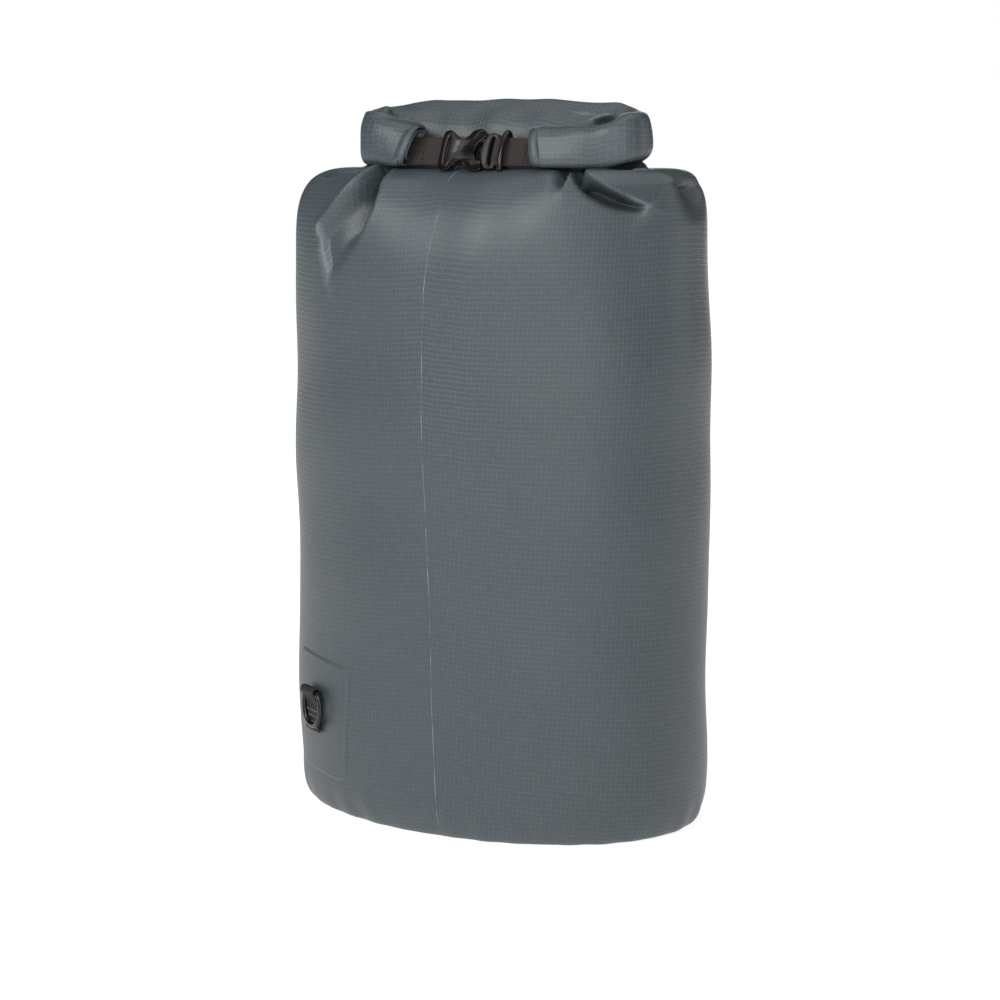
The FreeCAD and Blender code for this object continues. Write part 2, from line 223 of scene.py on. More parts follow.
# Where the cloth goes in under the roll, as (share of the way round, x, y)
under = ROLL_HALF + 0.006
NECK_KNOTS = (
    (0.00, 0.026, BACK_LINE_Y + under),
    (0.17, BEND_RIGHT - 0.01, BACK_LINE_Y + under),
    (0.25, BEND_RIGHT + 0.034, ROLL_AXIS_Y + 0.012),
    (0.30, BEND_RIGHT + 0.030, ROLL_AXIS_Y - 0.012),
    (0.355, BEND_RIGHT - 0.004, ROLL_LINE_Y - 0.010),
    (0.42, 0.070, ROLL_LINE_Y + 0.002),
    (0.46, 0.036, ROLL_LINE_Y + 0.012),
    (0.50, 0.006, ROLL_LINE_Y + 0.014),
    (0.54, -0.026, ROLL_LINE_Y + 0.012),
    (0.57, -0.050, ROLL_LINE_Y + 0.002),
    (0.61, BEND_LEFT + 0.008, ROLL_LINE_Y - 0.008),
    (0.68, BEND_LEFT - 0.026, ROLL_AXIS_Y - 0.012),
    (0.75, BEND_LEFT - 0.030, ROLL_AXIS_Y + 0.010),
    (0.83, BEND_LEFT + 0.006, BACK_LINE_Y + under),
    (1.00, 0.026, BACK_LINE_Y + under),
)
knots = np.array(NECK_KNOTS)
neck = np.stack([blurred(np.interp(share[:-1], knots[:, 0], knots[:, k]), 9) for k in (1, 2)], axis=1)
neck = np.vstack([neck, neck[:1]])


def round_value(back, side_right, front, side_left):
    """A value that runs smoothly round the bag through its four sides."""
    out = np.interp(share[:-1], [0, 0.25, 0.5, 0.75, 1], [back, side_right, front, side_left, back])
    out = blurred(out, 40)
    return np.append(out, out[0])


wall_top = round_value(0.465, 0.505, 0.450, 0.496)
boxy = round_value(2.2, 4.0, 2.25, 3.3)
tops = round_value(0.559, 0.5625, 0.5605, 0.5605)

BASE_ROWS = 14
WALL_ROWS = 60
SHOULDER_ROWS = 90
CAP_ROWS = 4


def body_grid():
    """The body's surface as rows of points, from the base seam up to under the roll."""
    rows = []
    for r in range(BASE_ROWS + 1):
        a = math.pi / 2 * r / BASE_ROWS
        z = np.full(COLUMNS + 1, BASE_ROUND * (1 - math.cos(a)))
        rows.append(np.column_stack([base_edge + (oval - base_edge) * math.sin(a), z]))
    for r in range(1, WALL_ROWS + 1):
        z = BASE_ROUND + (wall_top - BASE_ROUND) * r / WALL_ROWS
        rows.append(np.column_stack([oval, z]))
    for r in range(1, SHOULDER_ROWS + 1):
        a = math.pi / 2 * r / SHOULDER_ROWS
        f = max(math.cos(a), 0) ** (2 / boxy)
        g = math.sin(a) ** (2 / boxy)
        z = wall_top + (tops - wall_top) * g
        rows.append(np.column_stack([neck + (oval - neck) * f[:, None], z]))
    centre = np.column_stack([np.clip(neck[:, 0], BEND_LEFT, BEND_RIGHT), np.full(COLUMNS + 1, BACK_LINE_Y)])
    for r in range(1, CAP_ROWS + 1):
        k = r / CAP_ROWS
        rows.append(np.column_stack([neck + (centre - neck) * k, tops + 0.020 * k * (1 - 0.6 * k)]))
    return np.array(rows)


# The front seam wanders a little: how far to the right it lies, by height
SEAM_DRIFT = (
    (0.00, 0.008), (0.03, 0.006), (0.12, 0.002), (0.20, 0.000), (0.33, -0.005), (0.425, -0.0065),
    (0.463, -0.0045), (0.50, -0.0005), (0.528, 0.002), (0.545, -0.001), (0.56, -0.006),
)


def drifted(points):
    """Slides the cloth round the body by the seam's drift, most at the front."""
    knots = np.array(SEAM_DRIFT)
    weight = np.exp(-((share - 0.5) / 0.1) ** 2)
    out = points.copy()
    for row, line in zip(out, points):
        moved = share - weight * np.interp(row[COLUMNS // 2, 2], knots[:, 0], knots[:, 1]) / GIRTH
        for k in range(3):
            row[:, k] = np.interp(moved, share, line[:, k])
    return out


grid = drifted(body_grid())


def grid_normals(points):
    across = np.roll(points[:, :-1], -1, axis=1) - np.roll(points[:, :-1], 1, axis=1)
    across = np.concatenate([across, across[:, :1]], axis=1)
    normal = np.cross(np.gradient(points, axis=0), across)
    return normal / np.maximum(np.linalg.norm(normal, axis=2, keepdims=True), 1e-9)


def pocket(x, z, corners, softness):
    """How far inside a folded-in pocket a point of the front lies, 0 to 1, and how near its edges."""
    inside = np.ones_like(x)
    nearest = np.full_like(x, 1.0)
    for i, (ax, az) in enumerate(corners):
        bx, bz = corners[(i + 1) % len(corners)]
        length = math.hypot(bx - ax, bz - az)
        # corners run clockwise as seen from the front, so inside is to the right of each edge
        depth = ((x - ax) * (bz - az) - (z - az) * (bx - ax)) / length
        inside = inside * smooth(depth, 0, softness[i])
        if softness[i] < 0.008:
            along = ((x - ax) * (bx - ax) + (z - az) * (bz - az)) / length ** 2
            off = np.abs(depth) + 0.5 * length * np.maximum(np.abs(along - 0.5) - 0.5, 0)
            nearest = np.minimum(nearest, off)
    return inside, nearest


def line_distance(points, line):
    """Distance from each point to a run of straight pieces, and how far along it that is, 0 to 1."""
    line = np.array(line, float)
    best = np.full(points.shape[:-1], 9.0)
    where = np.zeros(points.shape[:-1])
    for i in range(len(line) - 1):
        a, b = line[i], line[i + 1]
        t = np.clip(((points - a) @ (b - a)) / ((b - a) @ (b - a)), 0, 1)
        gap = np.linalg.norm(points - a - t[..., None] * (b - a), axis=-1)
        closer = gap < best
        best = np.where(closer, gap, best)
        where = np.where(closer, (i + t) / (len(line) - 1), where)
    return best, where


def waves(u, v, seed, size, layers=5):
    """Soft seeded undulations, about one unit high, of the given size in metres."""
    random = np.random.RandomState(seed)
    total = np.zeros_like(u)
    for _ in range(layers):
        turn = random.uniform(0, math.pi)
        step = size * random.uniform(0.7, 1.6)
        phase = random.uniform(0, 2 * math.pi)
        total += np.sin((u * math.cos(turn) + v * math.sin(turn)) * 2 * math.pi / step + phase)
    return total / math.sqrt(layers)


# The deep folds, as corners (x, z) on the bag's front, clockwise, with how soft each edge is
LEFT_FOLD = ((-0.0706, 0.566), (-0.060, 0.566), (-0.0575, 0.532), (-0.068, 0.504),
             (-0.0955, 0.470), (-0.1045, 0.467), (-0.1145, 0.494), (-0.115, 0.513))
LEFT_SOFT = (0.003, 0.0045, 0.007, 0.016, 0.010, 0.005, 0.004, 0.012)
RIGHT_FOLD = ((0.098, 0.572), (0.1015, 0.572), (0.1685, 0.5325), (0.165, 0.526), (0.148, 0.5255), (0.122, 0.540))
RIGHT_SOFT = (0.003, 0.004, 0.003, 0.009, 0.010, 0.008)
DIMPLE = ((0.084, 0.572), (0.1085, 0.572), (0.1075, 0.543), (0.097, 0.540))
DIMPLE_SOFT = (0.003, 0.0035, 0.010, 0.020)


def fold_in(points):
    """Moves the cloth in at its folds; returns the points, a painted highlight along the fold edges and the painted
    shade deep in the folds.
    """
    normal = grid_normals(points)
    x, y, z = points[..., 0], points[..., 1], points[..., 2]
    front = smooth(-y, 0.02, 0.05)
    painted_edge_highlight = np.zeros_like(x)
    painted_fold_shade = np.zeros_like(x)
    move = np.zeros_like(x)
    face = np.stack([x, z], axis=-1)
    for corners, softness, depth, valley, reach, crisp in (
        (LEFT_FOLD, LEFT_SOFT, 0.032, slice(1, 4), 0.020, smooth(-x, 0.094, 0.102)),
        (RIGHT_FOLD, RIGHT_SOFT, 0.022, slice(1, 3), 0.017, smooth(x, 0.154, 0.162)),
        (DIMPLE, DIMPLE_SOFT, 0.015, slice(1, 3), 0.018, 0),
    ):
        # each is deepest along one edge, where the cloth doubles under, and near the roll
        inside, edge = pocket(x, z, corners, softness)
        gap, _ = line_distance(face, corners[valley])
        deep = (0.34 + 0.66 * np.exp(-(gap / reach) ** 2)) * (0.30 + 0.70 * smooth(z, 0.480, 0.548))
        lip = np.exp(-(edge / 0.005) ** 2) * (1 - inside)
        move += front * (lip * (0.0006 + 0.0016 * crisp) - inside * depth * deep)
        # painted shade: the colour is darkened deep inside each fold
        painted_fold_shade = np.maximum(painted_fold_shade, front * inside * (deep - 0.1).clip(0, 1))
        # painted highlight: a pale line along each fold's edges, strongest at the crisp ones
        painted_edge_highlight = np.maximum(painted_edge_highlight, np.exp(-(edge / 0.0018) ** 2) * front * crisp)
    gap, along = line_distance(face, ((-0.118, 0.512), (-0.068, 0.566)))
    move += front * 0.004 * np.exp(-(gap / 0.006) ** 2)
    # the hollow on top of the right shoulder, and the crease across the left one
    plan = points[..., :2]
    gap, along = line_distance(plan, ((0.128, -0.064), (0.160, -0.050), (0.184, -0.012), (0.190, 0.02)))
    top = smooth(z, 0.515, 0.545)
    fade = smooth(along, 0.0, 0.15) * (1 - smooth(along, 0.7, 1.0))
    hollow = top * fade * np.exp(-(gap / 0.009) ** 2)
    move -= 0.015 * hollow
    # painted shade in the hollow on the right shoulder
    painted_fold_shade = np.maximum(painted_fold_shade, hollow * 0.5)
    gap, along = line_distance(plan, ((-0.085, -0.076), (-0.125, -0.072), (-0.158, -0.050)))
    hollow = top * (1 - smooth(along, 0.75, 1.0)) * np.exp(-(gap / 0.0045) ** 2)
    move -= 0.009 * hollow
    # painted shade in the crease across the left shoulder
    painted_fold_shade = np.maximum(painted_fold_shade, hollow * 0.45)
    # gathers behind the roll, where the back of the cloth is drawn in
    for start_x, end_x, end_z, depth in ((0.126, 0.160, 0.500, 0.008), (-0.072, -0.130, 0.494, 0.008),
                                         (0.060, 0.075, 0.520, 0.003), (-0.020, -0.032, 0.515, 0.003)):
        gap, along = line_distance(face, ((start_x, 0.560), ((start_x + end_x) / 2, 0.535), (end_x, end_z)))
        move -= smooth(y, 0.0, 0.03) * (1 - smooth(along, 0.4, 1.0)) * depth * np.exp(-(gap / 0.009) ** 2)
    # the right-hand side draws in a little towards the shoulder
    move -= 0.0045 * smooth(x, 0.10, 0.17) * smooth(z, 0.38, 0.55) * (1 - smooth(z, 0.550, 0.560))
    # fullness and slack of the whole cloth
    around_m = np.broadcast_to(share * GIRTH, x.shape)
    off_back = np.minimum(share, 1 - share) * GIRTH
    stiff = smooth(off_back, 0, 0.05) * smooth(z, 0.004, 0.05) * (1 - smooth(z, 0.548, 0.558))
    move += 0.0011 * stiff * waves(around_m, z, 3, 0.16)
    move += 0.0004 * stiff * waves(around_m, z * 0.35, 8, 0.05)
    pull = smooth(z, 0.40, 0.53)
    move += 0.0009 * pull * stiff * waves(around_m, z * 0.2, 5, 0.06)
    pucker = smooth(off_back, 0, 0.05) * np.exp(-((z - 0.012) / 0.012) ** 2)
    move += 0.0009 * pucker * waves(around_m, z * 0.2, 6, 0.035)
    return points + normal * move[..., None], painted_edge_highlight, painted_fold_shade


grid, painted_edge_highlight, painted_fold_shade = fold_in(grid)
grid[..., 2] = np.maximum(grid[..., 2], 0.0003)
grid[:, -1] = grid[:, 0]


def grid_mesh(name, points, closed=True):
    """Quads from a grid of points; a closed grid's last column repeats its first."""
    rows, columns = points.shape[0], points.shape[1] - 1
    width = columns if closed else columns + 1
    flat = points[:, :width].reshape(-1, 3)
    faces = []
    for r in range(rows - 1):
        for c in range(columns):
            d = (c + 1) % width
            faces.append(((r + 1) * width + c, (r + 1) * width + d, r * width + d, r * width + c))
    mesh = bpy.data.meshes.new(name)
    mesh.from_pydata(flat.tolist(), [], faces)
    mesh.polygons.foreach_set("use_smooth", [True] * len(faces))
    return mesh


def corner_uv(mesh, uv):
    """Writes a (rows, columns + 1, 2) grid of UVs to the corners of a grid mesh's quads, in metres."""
    rows, columns = uv.shape[0] - 1, uv.shape[1] - 1
    a, b = uv[1:, :-1], uv[1:, 1:]
    c, d = uv[:-1, 1:], uv[:-1, :-1]
    layer = mesh.uv_layers.new(name="weave")
    layer.data.foreach_set("uv", np.stack([a, b, c, d], axis=2).reshape(-1))
    assert len(mesh.polygons) == rows * columns


def vertex_value(mesh, name, values):
    layer = mesh.attributes.new(name, "FLOAT", "POINT")
    layer.data.foreach_set("value", np.ascontiguousarray(values, dtype=np.float32).reshape(-1))


# The wrap is cut on a taper, so its grain leans away from the seam on both sides.
TAPER = math.radians(12)
heights = np.concatenate([np.zeros((1, COLUMNS + 1)), np.cumsum(np.linalg.norm(np.diff(grid, axis=0), axis=2), axis=0)])
heights = heights.mean(axis=1, keepdims=True) * 0.5 + heights * 0.5


def cut_uv(turned, up):
    """The place on the flat, tapered cut of a point that far round, -0.5 to 0.5, and that far up."""
    reach = GIRTH / TAPER
    angle = turned * TAPER
    return np.stack([(reach + up) * np.sin(angle), (reach + up) * np.cos(angle) - reach], axis=-1)


turned = np.where(share <= 0.5, share, share - 1)
body_uv = cut_uv(np.broadcast_to(turned, heights.shape), heights)
seam_column = COLUMNS // 2
body_mesh = grid_mesh("body_cloth", grid)
corner_uv(body_mesh, body_uv)
layer = body_mesh.uv_layers["weave"]
seam_left = cut_uv(np.full(heights.shape[0], -0.5), heights[:, seam_column])
back_right = cut_uv(np.zeros(heights.shape[0]), heights[:, 0])
for r in range(heights.shape[0] - 1):
    loops = body_mesh.polygons[r * COLUMNS + seam_column].loop_indices
    layer.data[loops[0]].uv = seam_left[r + 1]
    layer.data[loops[3]].uv = seam_left[r]
    loops = body_mesh.polygons[r * COLUMNS + COLUMNS - 1].loop_indices
    layer.data[loops[1]].uv = back_right[r + 1]
    layer.data[loops[2]].uv = back_right[r]
# the painted highlight on the fold edges and the painted shade in the folds, kept per point for the cloth's colour
vertex_value(body_mesh, "painted_edge_highlight", painted_edge_highlight[:, :-1])
vertex_value(body_mesh, "painted_fold_shade", painted_fold_shade[:, :-1])


def line_mask(tree, coordinate, pitch, half_width):
    """1 on evenly spaced lines across a coordinate in metres, 0 between them."""
    saw = add_node(tree, "ShaderNodeMath", {"operation": "PINGPONG", 1: pitch / 2}, {0: coordinate})
    spread = {"interpolation_type": "SMOOTHSTEP", "From Min": half_width * 0.4, "From Max": half_width,
              "To Min": 1.0, "To Max": 0.0}
    return add_node(tree, "ShaderNodeMapRange", spread, {"Value": saw.outputs[0]}).outputs["Result"]


def mixed(tree, kind, factor, a, b):
    """A colour mix whose factor and colours are sockets or values."""
    node = add_node(tree, "ShaderNodeMix", {"data_type": "RGBA", "blend_type": kind, "clamp_factor": True})
    for index, value in ((0, factor), (6, a), (7, b)):
        if isinstance(value, bpy.types.NodeSocket):
            tree.links.new(value, node.inputs[index])
        else:
            node.inputs[index].default_value = value
    return node.outputs[2]


# Coated ripstop nylon: a plain weave too fine to see, crossed every 4.2 mm by a thicker rip-stopping
# thread that stands up through the satin polyurethane coat; a fainter ghost thread lies between.
RIPSTOP_PITCH = 0.0042
THREAD_HALF = 0.0009


def ripstop_cloth(name, base, thread):
    material, tree, shader = new_material(name)
    uv = add_node(tree, "ShaderNodeUVMap", {"uv_map": "weave"})
    parts = add_node(tree, "ShaderNodeSeparateXYZ", {}, {0: uv.outputs["UV"]})
    across = line_mask(tree, parts.outputs["X"], RIPSTOP_PITCH, THREAD_HALF)
    up = line_mask(tree, parts.outputs["Y"], RIPSTOP_PITCH, THREAD_HALF)
    ghost = line_mask(tree, parts.outputs["X"], RIPSTOP_PITCH / 2, THREAD_HALF * 0.7)
    threads = add_node(tree, "ShaderNodeMath", {"operation": "MAXIMUM"}, {0: across, 1: up})
    faint = add_node(tree, "ShaderNodeMath", {"operation": "MULTIPLY", 1: 0.25}, {0: ghost})
    weave = add_node(tree, "ShaderNodeMath", {"operation": "MAXIMUM"}, {0: threads.outputs[0], 1: faint.outputs[0]})
    place = add_node(tree, "ShaderNodeTexCoord")
    slub = add_node(tree, "ShaderNodeTexNoise", {"Scale": 260.0, "Detail": 2.0}, {"Vector": place.outputs["Object"]})
    cloud = add_node(tree, "ShaderNodeTexNoise", {"Scale": 9.0, "Detail": 3.0}, {"Vector": place.outputs["Object"]})
    show = add_node(tree, "ShaderNodeMapRange", {"From Min": 0.3, "From Max": 0.7, "To Min": 0.25, "To Max": 0.85},
                    {"Value": slub.outputs["Fac"]})
    strength = add_node(tree, "ShaderNodeMath", {"operation": "MULTIPLY"}, {0: weave.outputs[0], 1: show.outputs[0]})
    shade = add_node(tree, "ShaderNodeMapRange", {"From Min": 0.3, "From Max": 0.7, "To Min": 0.0, "To Max": 0.5},
                     {"Value": cloud.outputs["Fac"]})
    darker = [c * 0.82 for c in linear(base)[:3]] + [1]
    ground = mixed(tree, "MIX", shade.outputs[0], linear(base), darker)
    woven = mixed(tree, "MIX", strength.outputs[0], ground, linear(thread))
    # painted highlight: the colour is lightened towards pale grey along the marked fold edges and rims
    highlight_mark = add_node(tree, "ShaderNodeAttribute", {"attribute_name": "painted_edge_highlight"})
    highlight_amount = add_node(tree, "ShaderNodeMath", {"operation": "MULTIPLY", 1: 0.25}, {0: highlight_mark.outputs["Fac"]})
    colour = mixed(tree, "MIX", highlight_amount.outputs[0], woven, linear("#9AA1A5"))
    # painted shade: the colour is darkened towards near-black slate deep in the folds and hollows
    deep = add_node(tree, "ShaderNodeAttribute", {"attribute_name": "painted_fold_shade"})
    shadow = add_node(tree, "ShaderNodeMath", {"operation": "MULTIPLY", 1: 0.6}, {0: deep.outputs["Fac"]})
    colour = mixed(tree, "MIX", shadow.outputs[0], colour, linear("#23282B"))
    tree.links.new(colour, shader.inputs["Base Color"])
    rough = add_node(tree, "ShaderNodeMapRange", {"To Min": 0.48, "To Max": 0.38}, {"Value": cloud.outputs["Fac"]})
    tree.links.new(rough.outputs[0], shader.inputs["Roughness"])
    bump = add_node(tree, "ShaderNodeBump", {"Strength": 0.5, "Distance": 0.00022}, {"Height": weave.outputs[0]})
    soft = add_node(tree, "ShaderNodeBump", {"Strength": 0.35, "Distance": 0.0012},
                    {"Height": cloud.outputs["Fac"], "Normal": bump.outputs[0]})
    tree.links.new(soft.outputs[0], shader.inputs["Normal"])
    shader.inputs["Specular IOR Level"].default_value = 0.5
    return material


body_cloth = ripstop_cloth("coated_ripstop_nylon_slate", "#3C4448", "#4A5257")


def add_piece(name, mesh, material, body="bag", stands_for=()):
    """Puts a finished mesh in the scene and tells the frame what it is."""
    piece = bpy.data.objects.new(name, mesh)
    bpy.context.collection.objects.link(piece)
    if material and not mesh.materials:
        mesh.materials.append(material)
    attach(piece, body)
    if stands_for:
        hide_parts(*stands_for)
    return piece


body_shell = add_piece("body_shell", body_mesh, body_cloth, stands_for=("body_wrap",))


# ---------------------------------------------------------------------------
# Base and seam: the base is a flat oval of the same nylon, sewn in and taped; the wrap's front
# seam is lapped, and its cut edge shows as a fine pale line. Inside tapes and the strip in the
# mouth stay as the frame has them.
# ---------------------------------------------------------------------------
base_rings = np.array([0.02, 0.3, 0.6, 0.85, 1.0])
base_grid = np.array([np.column_stack([base_edge * k, np.full(COLUMNS + 1, 0.0004)]) for k in base_rings])
base_mesh = grid_mesh("base_cloth", base_grid)
corner_uv(base_mesh, base_grid[..., :2])
add_piece("base_cloth", base_mesh, body_cloth, stands_for=("base_panel",))

# The cut edge of the lapped cloth: pale where its fibres show, dark where the coat runs over it.
seam_edge, tree, shader = new_material("cut_coated_cloth_edge_pale")
place = add_node(tree, "ShaderNodeTexCoord")
runs = add_node(tree, "ShaderNodeTexNoise", {"Scale": 38.0, "Detail": 4.0}, {"Vector": place.outputs["Object"]})
bare = add_node(tree, "ShaderNodeMapRange", {"From Min": 0.42, "From Max": 0.60}, {"Value": runs.outputs["Fac"]})
edge_colour = mixed(tree, "MIX", bare.outputs[0], linear("#4A5257"), linear("#8A9195"))
tree.links.new(edge_colour, shader.inputs["Base Color"])
shader.inputs["Roughness"].default_value = 0.5
SEAM_HALF = 0.0004


def seam_line(name, line, beside):
    """A fine raised edge along a line of points; beside is the next line of points over."""
    across = beside - line
    across /= np.linalg.norm(across, axis=1, keepdims=True)
    along = np.gradient(line, axis=0)
    lift = np.cross(along, across)
    lift /= np.linalg.norm(lift, axis=1, keepdims=True)
    fray = 0.75 + 0.25 * np.sin(np.arange(len(line)) * 2.3)[:, None]
    strips = []
    for side, height in ((-1, -0.0002), (-0.5, 0.00028), (0.5, 0.00025), (1, -0.0002)):
        strips.append(line + across * side * SEAM_HALF * fray + lift * height)
    points = np.stack(strips, axis=1)
    return add_piece(name, grid_mesh(name, points, closed=False), seam_edge)


seam_rows = slice(BASE_ROWS - 6, BASE_ROWS + WALL_ROWS + SHOULDER_ROWS - 4)
seam_line("front_seam", grid[seam_rows, seam_column], grid[seam_rows, seam_column + 1])


def moulded_plastic(name, base, rough, grain):
    """Plastic with the fine grain of its mould or rollers, which breaks up the highlight."""
    material, tree, shader = new_material(name)
    place = add_node(tree, "ShaderNodeTexCoord")
    fine = add_node(tree, "ShaderNodeTexNoise", {"Scale": 2600.0, "Detail": 2.0}, {"Vector": place.outputs["Object"]})
    broad = add_node(tree, "ShaderNodeTexNoise", {"Scale": 140.0, "Detail": 2.0}, {"Vector": place.outputs["Object"]})
    polish = {"From Min": 0.3, "From Max": 0.7, "To Min": rough - 0.06, "To Max": rough + 0.08}
    shine = add_node(tree, "ShaderNodeMapRange", polish, {"Value": broad.outputs["Fac"]})
    bump = add_node(tree, "ShaderNodeBump", {"Strength": grain, "Distance": 0.0001}, {"Height": fine.outputs["Fac"]})
    tree.links.new(shine.outputs[0], shader.inputs["Roughness"])
    tree.links.new(bump.outputs[0], shader.inputs["Normal"])
    shader.inputs["Base Color"].default_value = linear(base)
    shader.inputs["Specular IOR Level"].default_value = 0.4
    return material


seam_tape = moulded_plastic("seam_tape_polyurethane_film", "#4A4F53", 0.3, 0.10)
stiff_strip = moulded_plastic("extruded_polyethylene_strip_matt_black", "#232323", 0.55, 0.25)
for node, material in (("base_seam_tape", seam_tape), ("wrap_seam_tape", seam_tape), ("mouth_stiffener", stiff_strip)):
    inner_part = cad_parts[node]
    inner_part.data.materials.clear()
    inner_part.data.materials.append(material)


# ---------------------------------------------------------------------------
# Rolled top: the mouth of the same nylon, rolled down over its stiff strip and folded round to
# the front at both ends. Held by the buckle line only, so it slumps, leans and creases.
# ---------------------------------------------------------------------------
HEM_X_LEFT = hem_left_high[0]
HEM_X_RIGHT = hem_right_low[0]
ROLL_ROWS = 460
ROLL_COLUMNS = 96
ROLL_MIDDLE = (roll_low[2] + 0.002 + hem_left_high[2] + 0.001) / 2
ROLL_HALF_HIGH = 0.0215
ROLL_LEAN = 0.36
TOP_LINE = (
    # share of the way along from left hem to right hem, height of the top, its slope to the outside
    (0.00, 0.5955, -0.05),
    (0.05, 0.6015, -0.10),
    (0.085, 0.6075, -0.50),
    (0.12, 0.6095, -0.45),
    (0.16, 0.6115, 0.10),
    (0.21, 0.6110, 0.60),
    (0.27, 0.6095, 1.00),
    (0.36, 0.6095, 1.02),
    (0.55, 0.6098, 1.02),
    (0.70, 0.6075, 0.95),
    (0.75, 0.6065, 0.50),
    (0.79, 0.6070, 0.10),
    (0.82, 0.6060, 0.00),
    (0.842, 0.5995, 0.00),
    (0.865, 0.5970, 0.00),
    (0.90, 0.5965, 0.00),
    (1.00, 0.5945, 0.00),
)


def bend_points(centre_x, start, end):
    angles = np.linspace(start, end, 40)
    return [(centre_x + ROLL_TURN * math.cos(a), ROLL_AXIS_Y + ROLL_TURN * math.sin(a)) for a in angles]


roll_line = [(HEM_X_LEFT - 0.004, ROLL_LINE_Y)]
roll_line += bend_points(BEND_LEFT, -math.pi / 2, -3 * math.pi / 2)
roll_line += bend_points(BEND_RIGHT - 0.004, math.pi / 2, -math.pi / 2)
roll_line += [(HEM_X_RIGHT + 0.0072, ROLL_LINE_Y)]
path_share = np.linspace(0, 1, ROLL_ROWS)
path = spaced(roll_line, path_share)
ROLL_LENGTH = np.linalg.norm(np.diff(path, axis=0), axis=1).sum()
forward = np.gradient(path, axis=0)
forward /= np.linalg.norm(forward, axis=1, keepdims=True)
outward = np.column_stack([-forward[:, 1], forward[:, 0]])


def evened(values, width):
    """A running mean that keeps the ends."""
    padded = np.pad(values, width, mode="edge")
    return np.convolve(padded, np.ones(2 * width + 1) / (2 * width + 1), "valid")


def section(count, half_n, half_z, power):
    angles = np.linspace(-math.pi / 2, 3 * math.pi / 2, count + 1)
    n = np.sign(np.cos(angles)) * np.abs(np.cos(angles)) ** (2 / power) * half_n
    z = np.sign(np.sin(angles)) * np.abs(np.sin(angles)) ** (2 / power) * half_z
    return n, z


def roll_grid():
    """The roll's surface: rows along its C, columns round its section."""
    n, z = section(ROLL_COLUMNS, ROLL_HALF - 0.0008, ROLL_HALF_HIGH, 3.6)
    n, z = np.tile(n, (ROLL_ROWS, 1)), np.tile(z, (ROLL_ROWS, 1))
    knots = np.array(TOP_LINE)
    top = evened(np.interp(path_share, knots[:, 0], knots[:, 1]), 5)[:, None]
    slope = evened(np.interp(path_share, knots[:, 0], knots[:, 2]), 5)[:, None]
    upper = smooth(z, -0.008, ROLL_HALF_HIGH * 0.9)
    back = slope.clip(0, 1)
    front = 1 - smooth(path[:, 1:2], ROLL_LINE_Y + 0.001, ROLL_AXIS_Y + 0.010)
    height = ROLL_MIDDLE + z + upper * (top - ROLL_MIDDLE - ROLL_HALF_HIGH + slope * n)
    near_hem = np.where(path_share < 0.5, 1 - smooth(path_share, 0, 0.08), smooth(path_share, 0.86, 1))[:, None]
    n = n - front * ROLL_LEAN * (0.15 + 0.85 * near_hem) * (height - ROLL_MIDDLE) - front * 0.002
    swell = smooth(n, 0.0, ROLL_HALF) * np.exp(-((height - 0.583) / 0.016) ** 2)
    n = n + back * swell * 0.009
    # the rolled layers show as slack: long shallow waves, tighter and steeper round the bends
    along = path_share[:, None] * ROLL_LENGTH
    girth = np.linspace(0, 0.14, ROLL_COLUMNS + 1)[None, :]
    bend = np.exp(-((np.abs(path[:, :1] - (BEND_LEFT + BEND_RIGHT) / 2) - 0.112) / 0.022) ** 2)
    slack = 0.0005 * waves(along + 0 * girth, girth + 0 * along, 12, 0.07)
    slack += 0.0010 * bend * waves(along + 0 * girth, 0.35 * girth + 0 * along, 21, 0.034)
    slack += 0.0007 * upper * waves(along + 0 * girth, 0.2 * girth + 0 * along, 9, 0.05)
    n = n + slack * np.sign(n)
    height = height + 0.6 * slack * upper
    # the underside lifts off the body at the right bend
    right_end = smooth(path[:, :1], BEND_RIGHT - 0.005, BEND_RIGHT + 0.020)
    height = height + right_end * smooth(-z, 0.0, ROLL_HALF_HIGH) * 0.008
    gap = np.exp(-((path[:, :1] - 0.116) / 0.012) ** 2) * back * smooth(-n, 0.002, 0.012)
    n = n + gap * 0.015
    # drawn in at the inner top of the right bend, where the front run leaves the back one
    pinch = np.exp(-((path[:, :1] - 0.122) / 0.012) ** 2) * front * smooth(-n, 0.002, 0.012) * upper
    height = height - pinch * 0.004
    # the left end is folded over on itself: a low ridge that runs down from the peak to the hem
    ridge = (path_share[:, None] - 0.067) * ROLL_LENGTH * 0.6
    fold = np.exp(-((n + 0.004 - ridge) / 0.0022) ** 2) * upper * (path_share[:, None] < 0.13)
    height = height + fold * 0.0022
    lean_x = np.where(path_share < 0.5, 0.30, -0.22)[:, None]
    place = path[:, None, :] + outward[:, None, :] * n[..., None]
    x = place[..., 0] + near_hem * lean_x * (height - ROLL_MIDDLE)
    return np.stack([x, place[..., 1], height], axis=-1)


roll_points = roll_grid()
roll_points[:, -1] = roll_points[:, 0]
first, last = roll_points[0].mean(axis=0), roll_points[-1].mean(axis=0)
ends = [first + (roll_points[0] - first) * k for k in (0.05, 0.6, 0.93)]
others = [last + (roll_points[-1] - last) * k for k in (0.93, 0.6, 0.05)]
roll_points = np.concatenate([np.array(ends), roll_points, np.array(others)])
roll_mesh = grid_mesh("rolled_top", roll_points)
row_along = np.concatenate([np.zeros(3), path_share * ROLL_LENGTH, np.full(3, ROLL_LENGTH)])
girths = np.linalg.norm(np.diff(roll_points, axis=1), axis=2)
column_round = np.cumsum(np.concatenate([np.zeros((len(girths), 1)), girths], axis=1), axis=1)
row_along = np.tile(row_along[:, None], (1, ROLL_COLUMNS + 1))
corner_uv(roll_mesh, np.stack([row_along, column_round], axis=-1))


